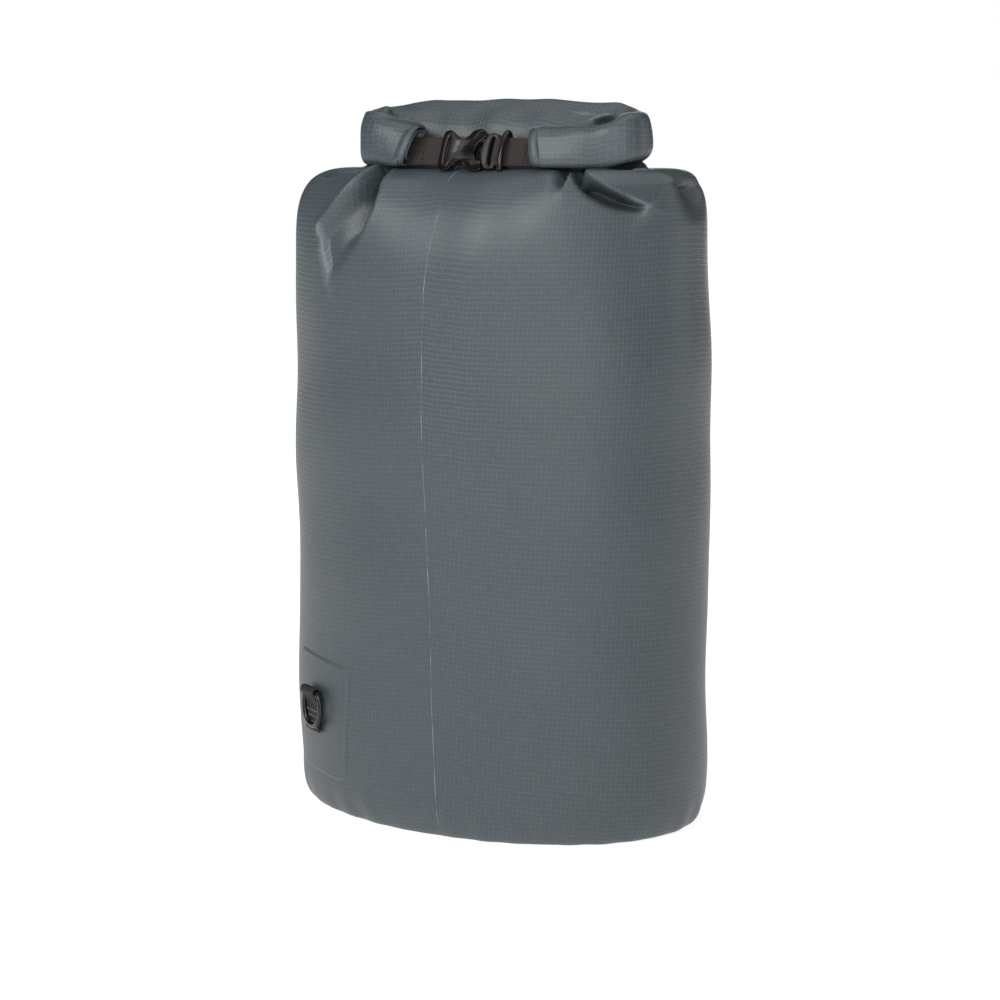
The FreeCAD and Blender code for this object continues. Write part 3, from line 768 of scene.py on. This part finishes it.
def tidy_normals(mesh):
    """Turns every face of a closed mesh outward."""
    work = bmesh.new()
    work.from_mesh(mesh)
    bmesh.ops.recalc_face_normals(work, faces=work.faces)
    work.to_mesh(mesh)
    work.free()


tidy_normals(roll_mesh)
add_piece("rolled_top", roll_mesh, body_cloth, stands_for=("collar_roll",))
seam_row = 3 + int(np.argmin(np.abs(path[:, 0] - 0.006) + 9 * (path[:, 1] < ROLL_AXIS_Y)))
visible = slice(4, ROLL_COLUMNS - 4)
seam_line("roll_seam", roll_points[seam_row, visible], roll_points[seam_row + 1, visible])


# ---------------------------------------------------------------------------
# Hems: the cut ends of the roll, bound and turned in. Seen end on, the rolled layers show as a
# flat coil with the strap gripped in the middle.
# ---------------------------------------------------------------------------
HEM_TURNS = 1.75
HEM_PLY = 0.0015


def hem_coil(name, x_inner, x_outer, lean_x, top_drop):
    """A flat coil of cloth across one end of the roll, rows round the coil, columns round its ply."""
    steps = 420
    rows = []
    for i in range(steps + 1):
        k = i / steps
        a = -math.pi / 2 + 2 * math.pi * HEM_TURNS * k
        half_n = ROLL_HALF - 0.0016 - 0.0044 * HEM_TURNS * k
        half_z = ROLL_HALF_HIGH - 0.0012 - 0.0050 * HEM_TURNS * k
        n = math.copysign(abs(math.cos(a)) ** 0.74, math.cos(a)) * half_n
        z = math.copysign(abs(math.sin(a)) ** 0.74, math.sin(a)) * half_z
        z += max(z, 0) * top_drop
        centre = np.array([0, ROLL_LINE_Y - n, ROLL_MIDDLE + z])
        radial = np.array([0, -math.cos(a) / half_n, math.sin(a) / half_z])
        radial /= np.linalg.norm(radial)
        ring = []
        for x, side in ((x_outer, -1), (x_outer, 1), (x_inner, 1), (x_inner * 0.995, 0), (x_inner, -1), (x_outer, -1)):
            point = centre + radial * side * HEM_PLY / 2
            tall = point[2] - ROLL_MIDDLE
            point[0] = x + lean_x * tall
            point[1] += ROLL_LEAN * tall
            ring.append(point)
        rows.append(ring)
    points = np.array(rows)
    mesh = grid_mesh(name, points)
    uv = np.stack(np.meshgrid(np.linspace(0, 0.3, steps + 1), np.linspace(0, 0.018, 6), indexing="ij"), axis=-1)
    corner_uv(mesh, uv)
    tidy_normals(mesh)
    # painted highlight: a pale line along the coil's inner edge
    rim = mesh.attributes.new("painted_edge_highlight", "FLOAT", "POINT")
    values = np.zeros((steps + 1, 5), dtype=np.float32)
    values[:, 3] = 0.5
    rim.data.foreach_set("value", values.reshape(-1))
    return mesh


TOP_DROP_LEFT = -0.36
TOP_DROP_RIGHT = -0.45
left_coil = hem_coil("hem_left_coil", HEM_X_LEFT + 0.0008, hem_left_low[0], 0.30, TOP_DROP_LEFT)
add_piece("hem_left_coil", left_coil, body_cloth, stands_for=("hem_left",))
right_coil = hem_coil("hem_right_coil", HEM_X_RIGHT - 0.0008, hem_right_high[0], -0.22, TOP_DROP_RIGHT)
add_piece("hem_right_coil", right_coil, body_cloth, stands_for=("hem_right",))


# ---------------------------------------------------------------------------
# Straps: 25 mm nylon webbing, ribbed across, looped round each buckle bar and sewn back to
# itself; the other end runs into the roll. They lie tipped back with the roll.
# ---------------------------------------------------------------------------
strap_low, strap_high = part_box("strap_left")
right_low, right_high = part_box("strap_right")
stitch_low, stitch_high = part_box("strap_left_stitching")
LINE_TILT = math.radians(25)
LINE_Z = (strap_low[2] + strap_high[2]) / 2
WEB_WIDTH = 0.025
WEB_PLY = 0.0014
LOOP_RADIUS = 0.0026


def lean_back(points):
    """Tips points about the strap line, top away from the front."""
    out = np.array(points, float)
    y, z = out[..., 1] - ROLL_LINE_Y, out[..., 2] - LINE_Z
    out[..., 1] = ROLL_LINE_Y + y * math.cos(LINE_TILT) + z * math.sin(LINE_TILT)
    out[..., 2] = LINE_Z - y * math.sin(LINE_TILT) + z * math.cos(LINE_TILT)
    return out


def webbing_material(name, pitch):
    """Ribbed webbing: a rib every pitch along its length, split into two by the weft's crossings."""
    material, tree, shader = new_material(name)
    uv = add_node(tree, "ShaderNodeUVMap", {"uv_map": "weave"})
    parts = add_node(tree, "ShaderNodeSeparateXYZ", {}, {0: uv.outputs["UV"]})
    ribs = line_mask(tree, parts.outputs["X"], pitch, pitch * 0.5)
    warp = line_mask(tree, parts.outputs["Y"], pitch * 1.6, pitch * 0.7)
    weave = add_node(tree, "ShaderNodeMath", {"operation": "MULTIPLY_ADD", 1: 0.6}, {0: ribs, 2: warp})
    fuzz = add_node(tree, "ShaderNodeTexNoise", {"Scale": 900.0, "Detail": 1.0}, {"Vector": uv.outputs["UV"]})
    lit = mixed(tree, "MIX", weave.outputs[0], linear("#1A1817"), linear("#373331"))
    colour = mixed(tree, "MULTIPLY", 0.35, lit, fuzz.outputs["Color"])
    tree.links.new(colour, shader.inputs["Base Color"])
    shader.inputs["Roughness"].default_value = 0.66
    shader.inputs["Specular IOR Level"].default_value = 0.25
    bump = add_node(tree, "ShaderNodeBump", {"Strength": 0.8, "Distance": 0.0003}, {"Height": weave.outputs[0]})
    tree.links.new(bump.outputs[0], shader.inputs["Normal"])
    return material


nylon_webbing = webbing_material("nylon_webbing_ribbed_black_brown", 0.0011)


def ribbon(name, centre, normal, width_way, width, ply):
    """A closed strip of webbing along a line of points, rounded at its selvedges."""
    n, w = section(20, 1.0, 1.0, 3.0)
    rows = []
    for k, (point, way) in enumerate(zip(centre, normal)):
        shrink = 0.05 if k in (0, len(centre) - 1) else 1.0
        ring = point + np.outer(n * ply / 2 * shrink, way) + np.outer(w * width / 2 * shrink, width_way)
        rows.append(ring)
    points = np.array(rows)
    mesh = grid_mesh(name, points)
    run = np.concatenate([[0], np.cumsum(np.linalg.norm(np.diff(centre, axis=0), axis=1))])
    across = np.tile(w * width / 2, (len(run), 1))
    corner_uv(mesh, np.stack([np.tile(run[:, None], (1, len(w))), across], axis=-1))
    tidy_normals(mesh)
    return mesh


def strap_mesh(name, bar_x, end_x):
    """Webbing from its buried end to the buckle bar, round it and back along itself."""
    side = 1 if bar_x > end_x else -1
    far = np.linspace(end_x, bar_x - side * 0.004, 24)
    line = [(x, -WEB_PLY * 0.53) for x in far]
    angles = np.linspace(-math.pi / 2, math.pi / 2, 16)
    line += [(bar_x + side * LOOP_RADIUS * math.cos(a), LOOP_RADIUS * math.sin(a)) for a in angles]
    line += [(x, WEB_PLY * 0.53) for x in far[::-1]]
    line = np.array([line[0]] + line + [line[-1]])
    line[1:-1] = np.column_stack([np.convolve(line[:, k], [0.25, 0.5, 0.25], "valid") for k in (0, 1)])
    step = np.gradient(line, axis=0)
    step /= np.maximum(np.linalg.norm(step, axis=1, keepdims=True), 1e-9)
    centre = np.column_stack([line[:, 0], ROLL_LINE_Y + line[:, 1], np.full(len(line), LINE_Z)])
    normal = np.column_stack([-step[:, 1], step[:, 0], np.zeros(len(line))])
    mesh = ribbon(name, centre, normal, np.array([0, 0, 1.0]), WEB_WIDTH, WEB_PLY)
    points = np.array([v.co for v in mesh.vertices])
    mesh.vertices.foreach_set("co", lean_back(points).reshape(-1))
    return mesh


left_bar_x = strap_high[0] - LOOP_RADIUS - WEB_PLY / 2
right_bar_x = right_low[0] + LOOP_RADIUS + WEB_PLY / 2
strap_left = add_piece("strap_left_webbing", strap_mesh("strap_left_webbing", left_bar_x, strap_low[0]),
                       nylon_webbing, stands_for=("strap_left",))
# the right strap's buried end stops short of the slit at the roll's bend
right_end_x = min(right_high[0], HEM_X_RIGHT + 0.022)
add_piece("strap_right_webbing", strap_mesh("strap_right_webbing", right_bar_x, right_end_x),
          nylon_webbing, stands_for=("strap_right",))
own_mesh(strap_left)

# Polyester sewing thread: two plies twisted together, which break its dull sheen into small beads.
THREAD_TWIST = 0.0008


def twisted_thread(name, hollow, crown):
    """Thread whose plies wind round once every twist, with painted shade in their hollows."""
    material, tree, shader = new_material(name)
    place = add_node(tree, "ShaderNodeTexCoord")
    plies = add_node(tree, "ShaderNodeTexWave", {"bands_direction": "DIAGONAL", "Scale": 0.628 / THREAD_TWIST},
                     {"Vector": place.outputs["Object"]})
    # painted shade: the colour runs from the dark hollow colour to the lighter crown colour along the plies
    colour = mixed(tree, "MIX", plies.outputs["Fac"], linear(hollow), linear(crown))
    bump = add_node(tree, "ShaderNodeBump", {"Strength": 0.4, "Distance": 0.0001}, {"Height": plies.outputs["Fac"]})
    tree.links.new(colour, shader.inputs["Base Color"])
    tree.links.new(bump.outputs[0], shader.inputs["Normal"])
    shader.inputs["Roughness"].default_value = 0.52
    return material


polyester_thread = twisted_thread("polyester_thread_black", "#080707", "#131111")


def stitches(name, ends, lift, thick):
    """Sewn stitches, each a short round-ended bar that dives into the cloth at both ends."""
    angles = np.linspace(0, 2 * math.pi, 9)
    mesh = bpy.data.meshes.new(name)
    vertices, faces = [], []
    for a, b in ends:
        a, b = np.array(a), np.array(b)
        along = (b - a) / np.linalg.norm(b - a)
        side = np.cross(along, lift)
        start = len(vertices)
        for k in np.linspace(0, 1, 6):
            arch = math.sin(math.pi * k)
            radius = thick / 2 * (0.55 + 0.45 * arch)
            middle = a + (b - a) * k + lift * (arch * 0.6 - 0.5) * thick
            vertices += [tuple(middle + radius * (side * math.cos(t) + lift * math.sin(t))) for t in angles[:-1]]
        for r in range(5):
            for c in range(8):
                d = (c + 1) % 8
                faces.append((start + r * 8 + c, start + r * 8 + d, start + r * 8 + 8 + d, start + r * 8 + 8 + c))
        faces.append(tuple(range(start + 7, start - 1, -1)))
        faces.append(tuple(range(start + 40, start + 48)))
    mesh.from_pydata(vertices, [], faces)
    mesh.polygons.foreach_set("use_smooth", [True] * len(faces))
    tidy_normals(mesh)
    return mesh


STITCH_THICK = 0.0012


def strap_stitches(name, columns):
    front = ROLL_LINE_Y - WEB_PLY * 1.1
    ends = []
    for x in columns:
        for i in range(8):
            z = LINE_Z - WEB_WIDTH / 2 + 0.0016 + i * 0.00275
            ends.append(lean_back([(x, front, z), (x + 0.0002, front, z + 0.0020)]))
    lift = np.array([0, -math.cos(LINE_TILT), math.sin(LINE_TILT)])
    return stitches(name, ends, lift, STITCH_THICK)


left_x = (stitch_low[0] + stitch_high[0]) / 2
left_stitches = add_piece("strap_left_thread", strap_stitches("strap_left_thread", (left_x,)),
                          polyester_thread, stands_for=("strap_left_stitching",))
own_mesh(left_stitches)
rows_low, rows_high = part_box("strap_right_stitching")
right_columns = (rows_low[0] + 0.0004, rows_high[0] - 0.0004)
add_piece("strap_right_thread", strap_stitches("strap_right_thread", right_columns),
          polyester_thread, stands_for=("strap_right_stitching",))


# ---------------------------------------------------------------------------
# Buckle socket: injection-moulded acetal, waisted so that the prongs show at both sides, with a
# hollowed mouth and a strap bar. Its faces are slightly domed and its edges well rounded.
# ---------------------------------------------------------------------------
housing_low, housing_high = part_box("buckle_housing")
plug_low, plug_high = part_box("plug_base")


acetal_satin = moulded_plastic("moulded_acetal_satin_black_brown", "#1D1A19", 0.34, 0.35)


def rounded(corners, times=3):
    """Cuts a polygon's corners over and over, which leaves smooth curves."""
    points = np.array(corners, float)
    for _ in range(times):
        after = np.roll(points, -1, axis=0)
        points = np.stack([points * 0.75 + after * 0.25, points * 0.25 + after * 0.75], axis=1).reshape(-1, 2)
    return points


def plate(outlines, thick, edge):
    """A flat moulding: outlines as (x, z) from the strap line in metres, the later ones holes."""
    curve = bpy.data.curves.new("plate", "CURVE")
    curve.dimensions = "2D"
    curve.fill_mode = "BOTH"
    curve.extrude = thick / 2 - edge
    curve.bevel_depth = edge
    curve.bevel_resolution = 3
    curve.offset = -edge
    for outline in outlines:
        spline = curve.splines.new("POLY")
        spline.points.add(len(outline) - 1)
        for point, (x, z) in zip(spline.points, outline):
            point.co = (x, z, 0, 1)
        spline.use_cyclic_u = True
    holder = bpy.data.objects.new("plate", curve)
    bpy.context.collection.objects.link(holder)
    bpy.context.view_layer.update()
    mesh = bpy.data.meshes.new_from_object(holder.evaluated_get(bpy.context.evaluated_depsgraph_get()))
    bpy.data.objects.remove(holder)
    bpy.data.curves.remove(curve)
    points = np.array([v.co for v in mesh.vertices])
    mesh.vertices.foreach_set("co", np.column_stack([points[:, 0], -points[:, 2], points[:, 1]]).reshape(-1))
    work = bmesh.new()
    work.from_mesh(mesh)
    bmesh.ops.remove_doubles(work, verts=work.verts, dist=1e-6)
    bmesh.ops.recalc_face_normals(work, faces=work.faces)
    work.to_mesh(mesh)
    work.free()
    mesh.materials.clear()
    return mesh


def bowed(mesh, shape):
    """Moves a plate's points by shape(x, y, z), then tips it back into place on the strap line."""
    points = np.array([v.co for v in mesh.vertices])
    points = shape(points)
    points += np.array([0, ROLL_LINE_Y, LINE_Z])
    mesh.vertices.foreach_set("co", lean_back(points).reshape(-1))
    mesh.polygons.foreach_set("use_smooth", [True] * len(mesh.polygons))
    return mesh


def joined(meshes):
    """One mesh from several."""
    work = bmesh.new()
    for mesh in meshes:
        work.from_mesh(mesh)
    whole = bpy.data.meshes.new(meshes[0].name)
    work.to_mesh(whole)
    work.free()
    whole.polygons.foreach_set("use_smooth", [True] * len(whole.polygons))
    return whole


def mirrored(upper):
    """A whole outline from its upper half, which runs left to right."""
    return upper + [(x, -z) for x, z in reversed(upper)]


def bar(x, half, radius):
    """An upright strap bar across the strap line."""
    mesh = bpy.data.meshes.new("bar")
    work = bmesh.new()
    bmesh.ops.create_cone(work, cap_ends=True, segments=24, radius1=radius, radius2=radius, depth=2 * half)
    bmesh.ops.translate(work, verts=work.verts, vec=(x, 0, 0))
    work.to_mesh(mesh)
    work.free()
    return mesh


HL, HR = housing_low[0], housing_high[0]
HOUSING_THICK = 0.0105
SKIN = 0.0022
socket_half = 0.0168
socket_upper = [
    (HL + 0.0002, 0.0030), (HL + 0.0002, 0.0130), (HL + 0.0010, 0.0160), (HL + 0.0050, 0.0166),
    (HL + 0.0085, 0.0148), (HL + 0.0112, 0.0105), (HL + 0.0150, 0.0076), (HL + 0.0205, 0.0076),
    (HL + 0.0248, 0.0112), (HL + 0.0280, 0.0160), (HL + 0.0330, socket_half + 0.0003),
    (HR + 0.0006, 0.0162), (HR + 0.0006, 0.0138), (HR - 0.0050, 0.0095), (HR - 0.0088, 0.0035),
]
slot_half = WEB_WIDTH / 2 + 0.0004
strap_window = [
    (HL + 0.0036, -slot_half), (HL + 0.0036, slot_half), (HL + 0.0068, slot_half), (HL + 0.0068, -slot_half),
]


def housing_form(points):
    x, y, z = points.T
    outer = np.sign(y)
    # the faces dome a little, sink to a hollow behind the mouth and thin towards both ends
    along = (x - HL) / (HR - HL)
    dome = 0.0007 * np.cos(z / socket_half * 1.2) - 0.0011 * np.exp(-((along - 0.68) / 0.12) ** 2 - (z / 0.008) ** 2)
    thin = 1 - 0.34 * smooth(-along, -0.30, -0.02)
    flare = 1 + 0.10 * smooth(along, 0.8, 1.05)
    return np.column_stack([x, y * thin * flare + outer * dome, z])


front_skin = plate([rounded(mirrored(socket_upper)), rounded(strap_window, 2)], 0.0034, 0.0013)
shift = (HOUSING_THICK - 0.0034) / 2
skins = []
for side in (-1, 1):
    skin = front_skin.copy()
    points = np.array([v.co for v in skin.vertices])
    points[:, 1] += side * shift
    skin.vertices.foreach_set("co", points.reshape(-1))
    skins.append(skin)
rail_inner, rail_outer = 0.0130, 0.0163
rails = []
for side in (-1, 1):
    rail = rounded([(HR - 0.0115, side * rail_inner), (HR - 0.0115, side * rail_outer),
                    (HR + 0.0014, side * rail_outer), (HR + 0.0014, side * rail_inner)], 2)
    rails.append(plate([rail], HOUSING_THICK - 0.002, 0.0010))
    strut = rounded([(HL + 0.0008, side * 0.0130), (HL + 0.0008, side * 0.0160),
                     (HL + 0.0098, side * 0.0148), (HL + 0.0110, side * 0.0110)], 2)
    rails.append(plate([strut], HOUSING_THICK - 0.002, 0.0008))
spine = plate([rounded([(HL + 0.0080, -0.0088), (HL + 0.0080, 0.0088), (HL + 0.0165, 0.0072),
                        (HL + 0.0165, -0.0072)], 2)], HOUSING_THICK - 0.003, 0.0006)
housing_mesh = joined(skins + rails + [spine, bar(HL + 0.0020, 0.0140, 0.0016)])
housing_mesh.name = "buckle_socket"
add_piece("buckle_socket", bowed(housing_mesh, housing_form), acetal_satin, body="housing",
          stands_for=("buckle_housing",))


# ---------------------------------------------------------------------------
# Buckle plug: the same moulding plastic; a bowed base with its own strap bar, fixed on the right
# strap, and two sprung prongs whose barbs catch behind the socket's rails.
# ---------------------------------------------------------------------------
PL, PR = plug_low[0], plug_high[0]
PLUG_THICK = 0.0078
plug_upper = [
    (PL - 0.0016, 0.0030), (PL - 0.0004, 0.0085), (PL + 0.0016, 0.0128), (PL + 0.0042, 0.0158),
    (PL + 0.0076, 0.0162), (PR - 0.0020, 0.0156), (PR - 0.0003, 0.0142), (PR + 0.0001, 0.0060),
]
plug_window = [
    (PR - 0.0072, -slot_half), (PR - 0.0072, slot_half), (PR - 0.0038, slot_half), (PR - 0.0038, -slot_half),
]


def plug_form(points):
    x, y, z = points.T
    along = (x - PL) / (PR - PL)
    return np.column_stack([x, y * (1 - 0.30 * smooth(along, 0.3, 0.95)), z])


plug_mesh = plate([rounded(mirrored(plug_upper)), rounded(plug_window, 2)], PLUG_THICK, 0.0016)
plug_mesh = joined([plug_mesh, bar(PR - 0.0020, 0.0138, 0.0017)])
plug_mesh.name = "buckle_plug"
add_piece("buckle_plug", bowed(plug_mesh, plug_form), acetal_satin, stands_for=("plug_base",))

prong_low, prong_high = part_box("prong_upper")
TIP, ROOT = prong_low[0], prong_high[0]
prong_edge = [
    (ROOT + 0.0004, 0.0080), (ROOT + 0.0004, 0.0120), (ROOT - 0.0070, 0.0122), (TIP + 0.0062, 0.0120),
    (TIP + 0.0060, 0.0120), (TIP + 0.0058, 0.0139), (TIP + 0.0054, 0.0140), (TIP + 0.0034, 0.0134),
    (TIP + 0.0006, 0.0104), (TIP + 0.0002, 0.0086), (TIP + 0.0014, 0.0080), (TIP + 0.0090, 0.0084),
]
for side, word in ((1, "upper"), (-1, "lower")):
    outline = rounded([(x, side * z) for x, z in prong_edge], 2)
    mesh = plate([outline], 0.0048, 0.0009)
    mesh.name = "buckle_prong_" + word
    add_piece("buckle_prong_" + word, bowed(mesh, lambda p: p), acetal_satin, body=word + "_prong",
              stands_for=("prong_" + word,))


# ---------------------------------------------------------------------------
# Keeper: a slim moulded oval ring that hangs round the right strap beside the plug, free to turn.
# ---------------------------------------------------------------------------
keeper_low, keeper_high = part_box("keeper_ring")
KEEPER_X = (keeper_low[0] + keeper_high[0]) / 2
KEEPER_HALF_Z = 0.0176
KEEPER_HALF_Y = 0.0064


def rod_loop(name, middle, along_a, along_b, half_a, half_b, power, radius_a, radius_b):
    """A ring of oval rod: its middle line is a rounded oval in the plane of two directions."""
    steps, round_steps = 160, 20
    out_of_plane = np.cross(along_a, along_b)
    angles = np.linspace(0, 2 * math.pi, steps + 1)[:-1]
    ca, sa = np.cos(angles), np.sin(angles)
    a = np.sign(ca) * np.abs(ca) ** (2 / power) * half_a
    b = np.sign(sa) * np.abs(sa) ** (2 / power) * half_b
    line = np.outer(a, along_a) + np.outer(b, along_b)
    step = np.roll(line, -1, axis=0) - np.roll(line, 1, axis=0)
    step /= np.linalg.norm(step, axis=1, keepdims=True)
    side = np.cross(step, out_of_plane)
    turn = np.linspace(0, 2 * math.pi, round_steps + 1)[None, :, None]
    rings = line[:, None] + side[:, None] * np.cos(turn) * radius_a + out_of_plane * np.sin(turn) * radius_b
    rings = np.concatenate([rings, rings[:1]])
    mesh = grid_mesh(name, rings + middle)
    work = bmesh.new()
    work.from_mesh(mesh)
    bmesh.ops.remove_doubles(work, verts=work.verts, dist=1e-6)
    bmesh.ops.recalc_face_normals(work, faces=work.faces)
    work.to_mesh(mesh)
    work.free()
    return mesh


up_line = lean_back([(0, ROLL_LINE_Y, LINE_Z + 1)])[0] - lean_back([(0, ROLL_LINE_Y, LINE_Z)])[0]
out_line = lean_back([(0, ROLL_LINE_Y - 1, LINE_Z)])[0] - lean_back([(0, ROLL_LINE_Y, LINE_Z)])[0]
acetal_gloss = moulded_plastic("moulded_acetal_semi_gloss_black", "#151312", 0.24, 0.12)
keeper_mesh = rod_loop("keeper_oval", np.array([KEEPER_X, ROLL_LINE_Y, LINE_Z]), up_line, out_line,
                       KEEPER_HALF_Z, KEEPER_HALF_Y, 2.4, 0.0019, 0.0024)
add_piece("keeper_oval", keeper_mesh, acetal_gloss, body="keeper", stands_for=("keeper_ring",))


# ---------------------------------------------------------------------------
# Lash point: a patch of the same nylon bonded low on the wall, a folded tab of 25 mm webbing sewn
# on it, and a moulded D-ring that hangs in the fold.
# ---------------------------------------------------------------------------
patch_low, patch_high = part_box("lash_patch")
patch_high[2] += 0.008
tab_low, tab_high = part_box("lash_tab")
ring_low, ring_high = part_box("lash_ring")
LASH_X = (tab_low[0] + tab_high[0]) / 2
PATCH_HALF = 0.046
PATCH_TURN = math.radians(-3.5)
PATCH_ROWS = 60
around_share = np.arange(COLUMNS) / COLUMNS
wall_rows = grid[BASE_ROWS:BASE_ROWS + WALL_ROWS + 1]
wall_normals = grid_normals(grid)[BASE_ROWS:BASE_ROWS + WALL_ROWS + 1]


def on_wall(share_at, z, lift):
    """The point at that share of the way round and that height, lifted off the cloth."""
    column = share_at * COLUMNS
    c = int(column) % COLUMNS
    part = column - int(column)
    heights = wall_rows[:, c, 2]
    r = int(np.clip(np.searchsorted(heights, z) - 1, 0, len(heights) - 2))
    t = (z - heights[r]) / (heights[r + 1] - heights[r])
    d = (c + 1) % COLUMNS
    lower = wall_rows[r, c] * (1 - part) + wall_rows[r, d] * part
    upper = wall_rows[r + 1, c] * (1 - part) + wall_rows[r + 1, d] * part
    normal = wall_normals[r, c] * (1 - part) + wall_normals[r, d] * part
    return lower * (1 - t) + upper * t + normal * lift


front_half = slice(COLUMNS // 2, COLUMNS * 3 // 4 + 1)
lash_share = float(np.interp(-LASH_X, -oval[front_half, 0], share[front_half]))
patch_mid_z = (patch_low[2] + patch_high[2]) / 2
patch_high_half = (patch_high[2] - patch_low[2]) / 2
patch_points = []
for r in range(PATCH_ROWS + 1):
    v = -1 + 2 * r / PATCH_ROWS
    row = []
    for c in range(PATCH_ROWS + 1):
        u = -1 + 2 * c / PATCH_ROWS
        # a square with round corners, its rim turned down on to the wall
        reach = max(abs(u), abs(v))
        corner = (abs(u) ** 9 + abs(v) ** 9) ** (1 / 9)
        squeeze = reach / corner if corner else 1
        a, b = u * squeeze * PATCH_HALF, v * squeeze * patch_high_half
        across = a * math.cos(PATCH_TURN) - b * math.sin(PATCH_TURN)
        up = a * math.sin(PATCH_TURN) + b * math.cos(PATCH_TURN)
        lift = 0.0011 * (1 - smooth(reach, 0.965, 1.0)) - 0.0006 * smooth(reach, 0.98, 1.0)
        row.append(on_wall(lash_share - across / GIRTH, patch_mid_z + up, lift))
    patch_points.append(row)
patch_points = np.array(patch_points)
patch_mesh = grid_mesh("lash_patch_cloth", patch_points, closed=False)
flat_u = np.linspace(-PATCH_HALF, PATCH_HALF, PATCH_ROWS + 1)
flat_v = np.linspace(-patch_high_half, patch_high_half, PATCH_ROWS + 1)
corner_uv(patch_mesh, np.stack(np.meshgrid(flat_u, flat_v, indexing="xy"), axis=-1))
# painted highlight: a pale band just inside the patch's rim
rim_u = np.abs(np.linspace(-1, 1, PATCH_ROWS + 1))
rim = np.maximum(rim_u[None, :], rim_u[:, None])
vertex_value(patch_mesh, "painted_edge_highlight", smooth(rim, 0.955, 0.99) * (1 - smooth(rim, 0.992, 1.0)))
add_piece("lash_patch_cloth", patch_mesh, body_cloth, stands_for=("lash_patch",))

bar_middle = np.array([(ring_low[0] + ring_high[0]) / 2, (ring_low[1] + ring_high[1]) / 2, 0.108])
wall_point = on_wall(lash_share, 0.108, 0.0)
wall_out = on_wall(lash_share, 0.108, 1.0) - wall_point
wall_out[2] = 0
wall_out /= np.linalg.norm(wall_out)
wall_across = np.cross(wall_out, np.array([0, 0, 1.0]))
UP = np.array([0, 0, 1.0])
RING_ROD = 0.0050
bar_out = float(np.dot(bar_middle - wall_point, wall_out))
fold_radius = RING_ROD / 2 + 0.0003 + WEB_PLY / 2
tab_top, tab_bottom = 0.108, tab_low[2]
back_off = bar_out - fold_radius
front_off = back_off + WEB_PLY * 1.05
tab_line = [(back_off, z) for z in np.linspace(tab_bottom, tab_top - 0.001, 22)]
tab_line += [(bar_out + fold_radius * math.sin(a), tab_top + fold_radius * math.cos(a))
             for a in np.linspace(-math.pi / 2, math.pi * 0.62, 20)]
tab_line += [(front_off + 0.0012, tab_top - 0.0088), (front_off + 0.0003, tab_top - 0.0125)]
tab_line += [(front_off, z) for z in np.linspace(tab_top - 0.016, tab_bottom + 0.0012, 18)]
tab_line = np.array([tab_line[0]] + tab_line + [tab_line[-1]])
step = np.gradient(tab_line, axis=0)
step /= np.maximum(np.linalg.norm(step, axis=1, keepdims=True), 1e-9)
tab_centre = wall_point * np.array([1, 1, 0]) + np.outer(tab_line[:, 0], wall_out) + np.outer(tab_line[:, 1], UP)
tab_normal = np.outer(-step[:, 1], wall_out) + np.outer(step[:, 0], UP)
tab_mesh = ribbon("lash_tab_webbing", tab_centre, tab_normal, wall_across, WEB_WIDTH, WEB_PLY)
add_piece("lash_tab_webbing", tab_mesh, nylon_webbing, stands_for=("lash_tab",))

grey_thread = twisted_thread("polyester_thread_grey_worn", "#5A5957", "#7C7B79")
tab_ends = []
sewn_low, sewn_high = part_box("lash_tab_stitching")
for z in np.linspace(sewn_low[2] + 0.001, sewn_high[2] + 0.004, 4):
    for i in range(7):
        a = -0.0100 + i * 0.0029
        face = wall_point * np.array([1, 1, 0]) + wall_out * (front_off + WEB_PLY / 2) + UP * z
        tab_ends.append((face + wall_across * a, face + wall_across * (a + 0.0021)))
tab_thread = stitches("lash_tab_thread", tab_ends, wall_out, STITCH_THICK)
add_piece("lash_tab_thread", tab_thread, grey_thread, stands_for=("lash_tab_stitching",))

RING_HALF = 0.0155
ring_parts = []
drop = bar_middle[2] - ring_low[2] - RING_ROD / 2
d_line = [(-RING_HALF, 0), (-RING_HALF, -0.010)]
for a in np.linspace(math.pi, 2 * math.pi, 40):
    d_line.append((RING_HALF * math.cos(a), -0.0125 - (drop - 0.0125) * abs(math.sin(a)) ** 0.85))
d_line += [(RING_HALF, -0.010), (RING_HALF, 0)]
d_line = np.array(d_line)
corners = [(-RING_HALF + 0.003, 0.0), (RING_HALF - 0.003, 0.0)]
loop = np.vstack([[corners[0]], d_line[1:-1], [corners[1]]])
for _ in range(2):
    after = np.roll(loop, -1, axis=0)
    loop = np.stack([loop * 0.75 + after * 0.25, loop * 0.25 + after * 0.75], axis=1).reshape(-1, 2)
line = np.outer(loop[:, 0], wall_across) + np.outer(loop[:, 1], UP) + bar_middle
step = np.roll(line, -1, axis=0) - np.roll(line, 1, axis=0)
step /= np.linalg.norm(step, axis=1, keepdims=True)
in_plane = np.cross(step, wall_out)
turn = np.linspace(0, 2 * math.pi, 21)[None, :, None]
rings = line[:, None] + in_plane[:, None] * np.cos(turn) * RING_ROD / 2 + wall_out * np.sin(turn) * RING_ROD / 2
ring_mesh = grid_mesh("lash_d_ring", np.concatenate([rings, rings[:1]]))
work = bmesh.new()
work.from_mesh(ring_mesh)
bmesh.ops.remove_doubles(work, verts=work.verts, dist=1e-6)
bmesh.ops.recalc_face_normals(work, faces=work.faces)
work.to_mesh(ring_mesh)
work.free()
add_piece("lash_d_ring", ring_mesh, acetal_gloss, body="lash_loop", stands_for=("lash_ring",))
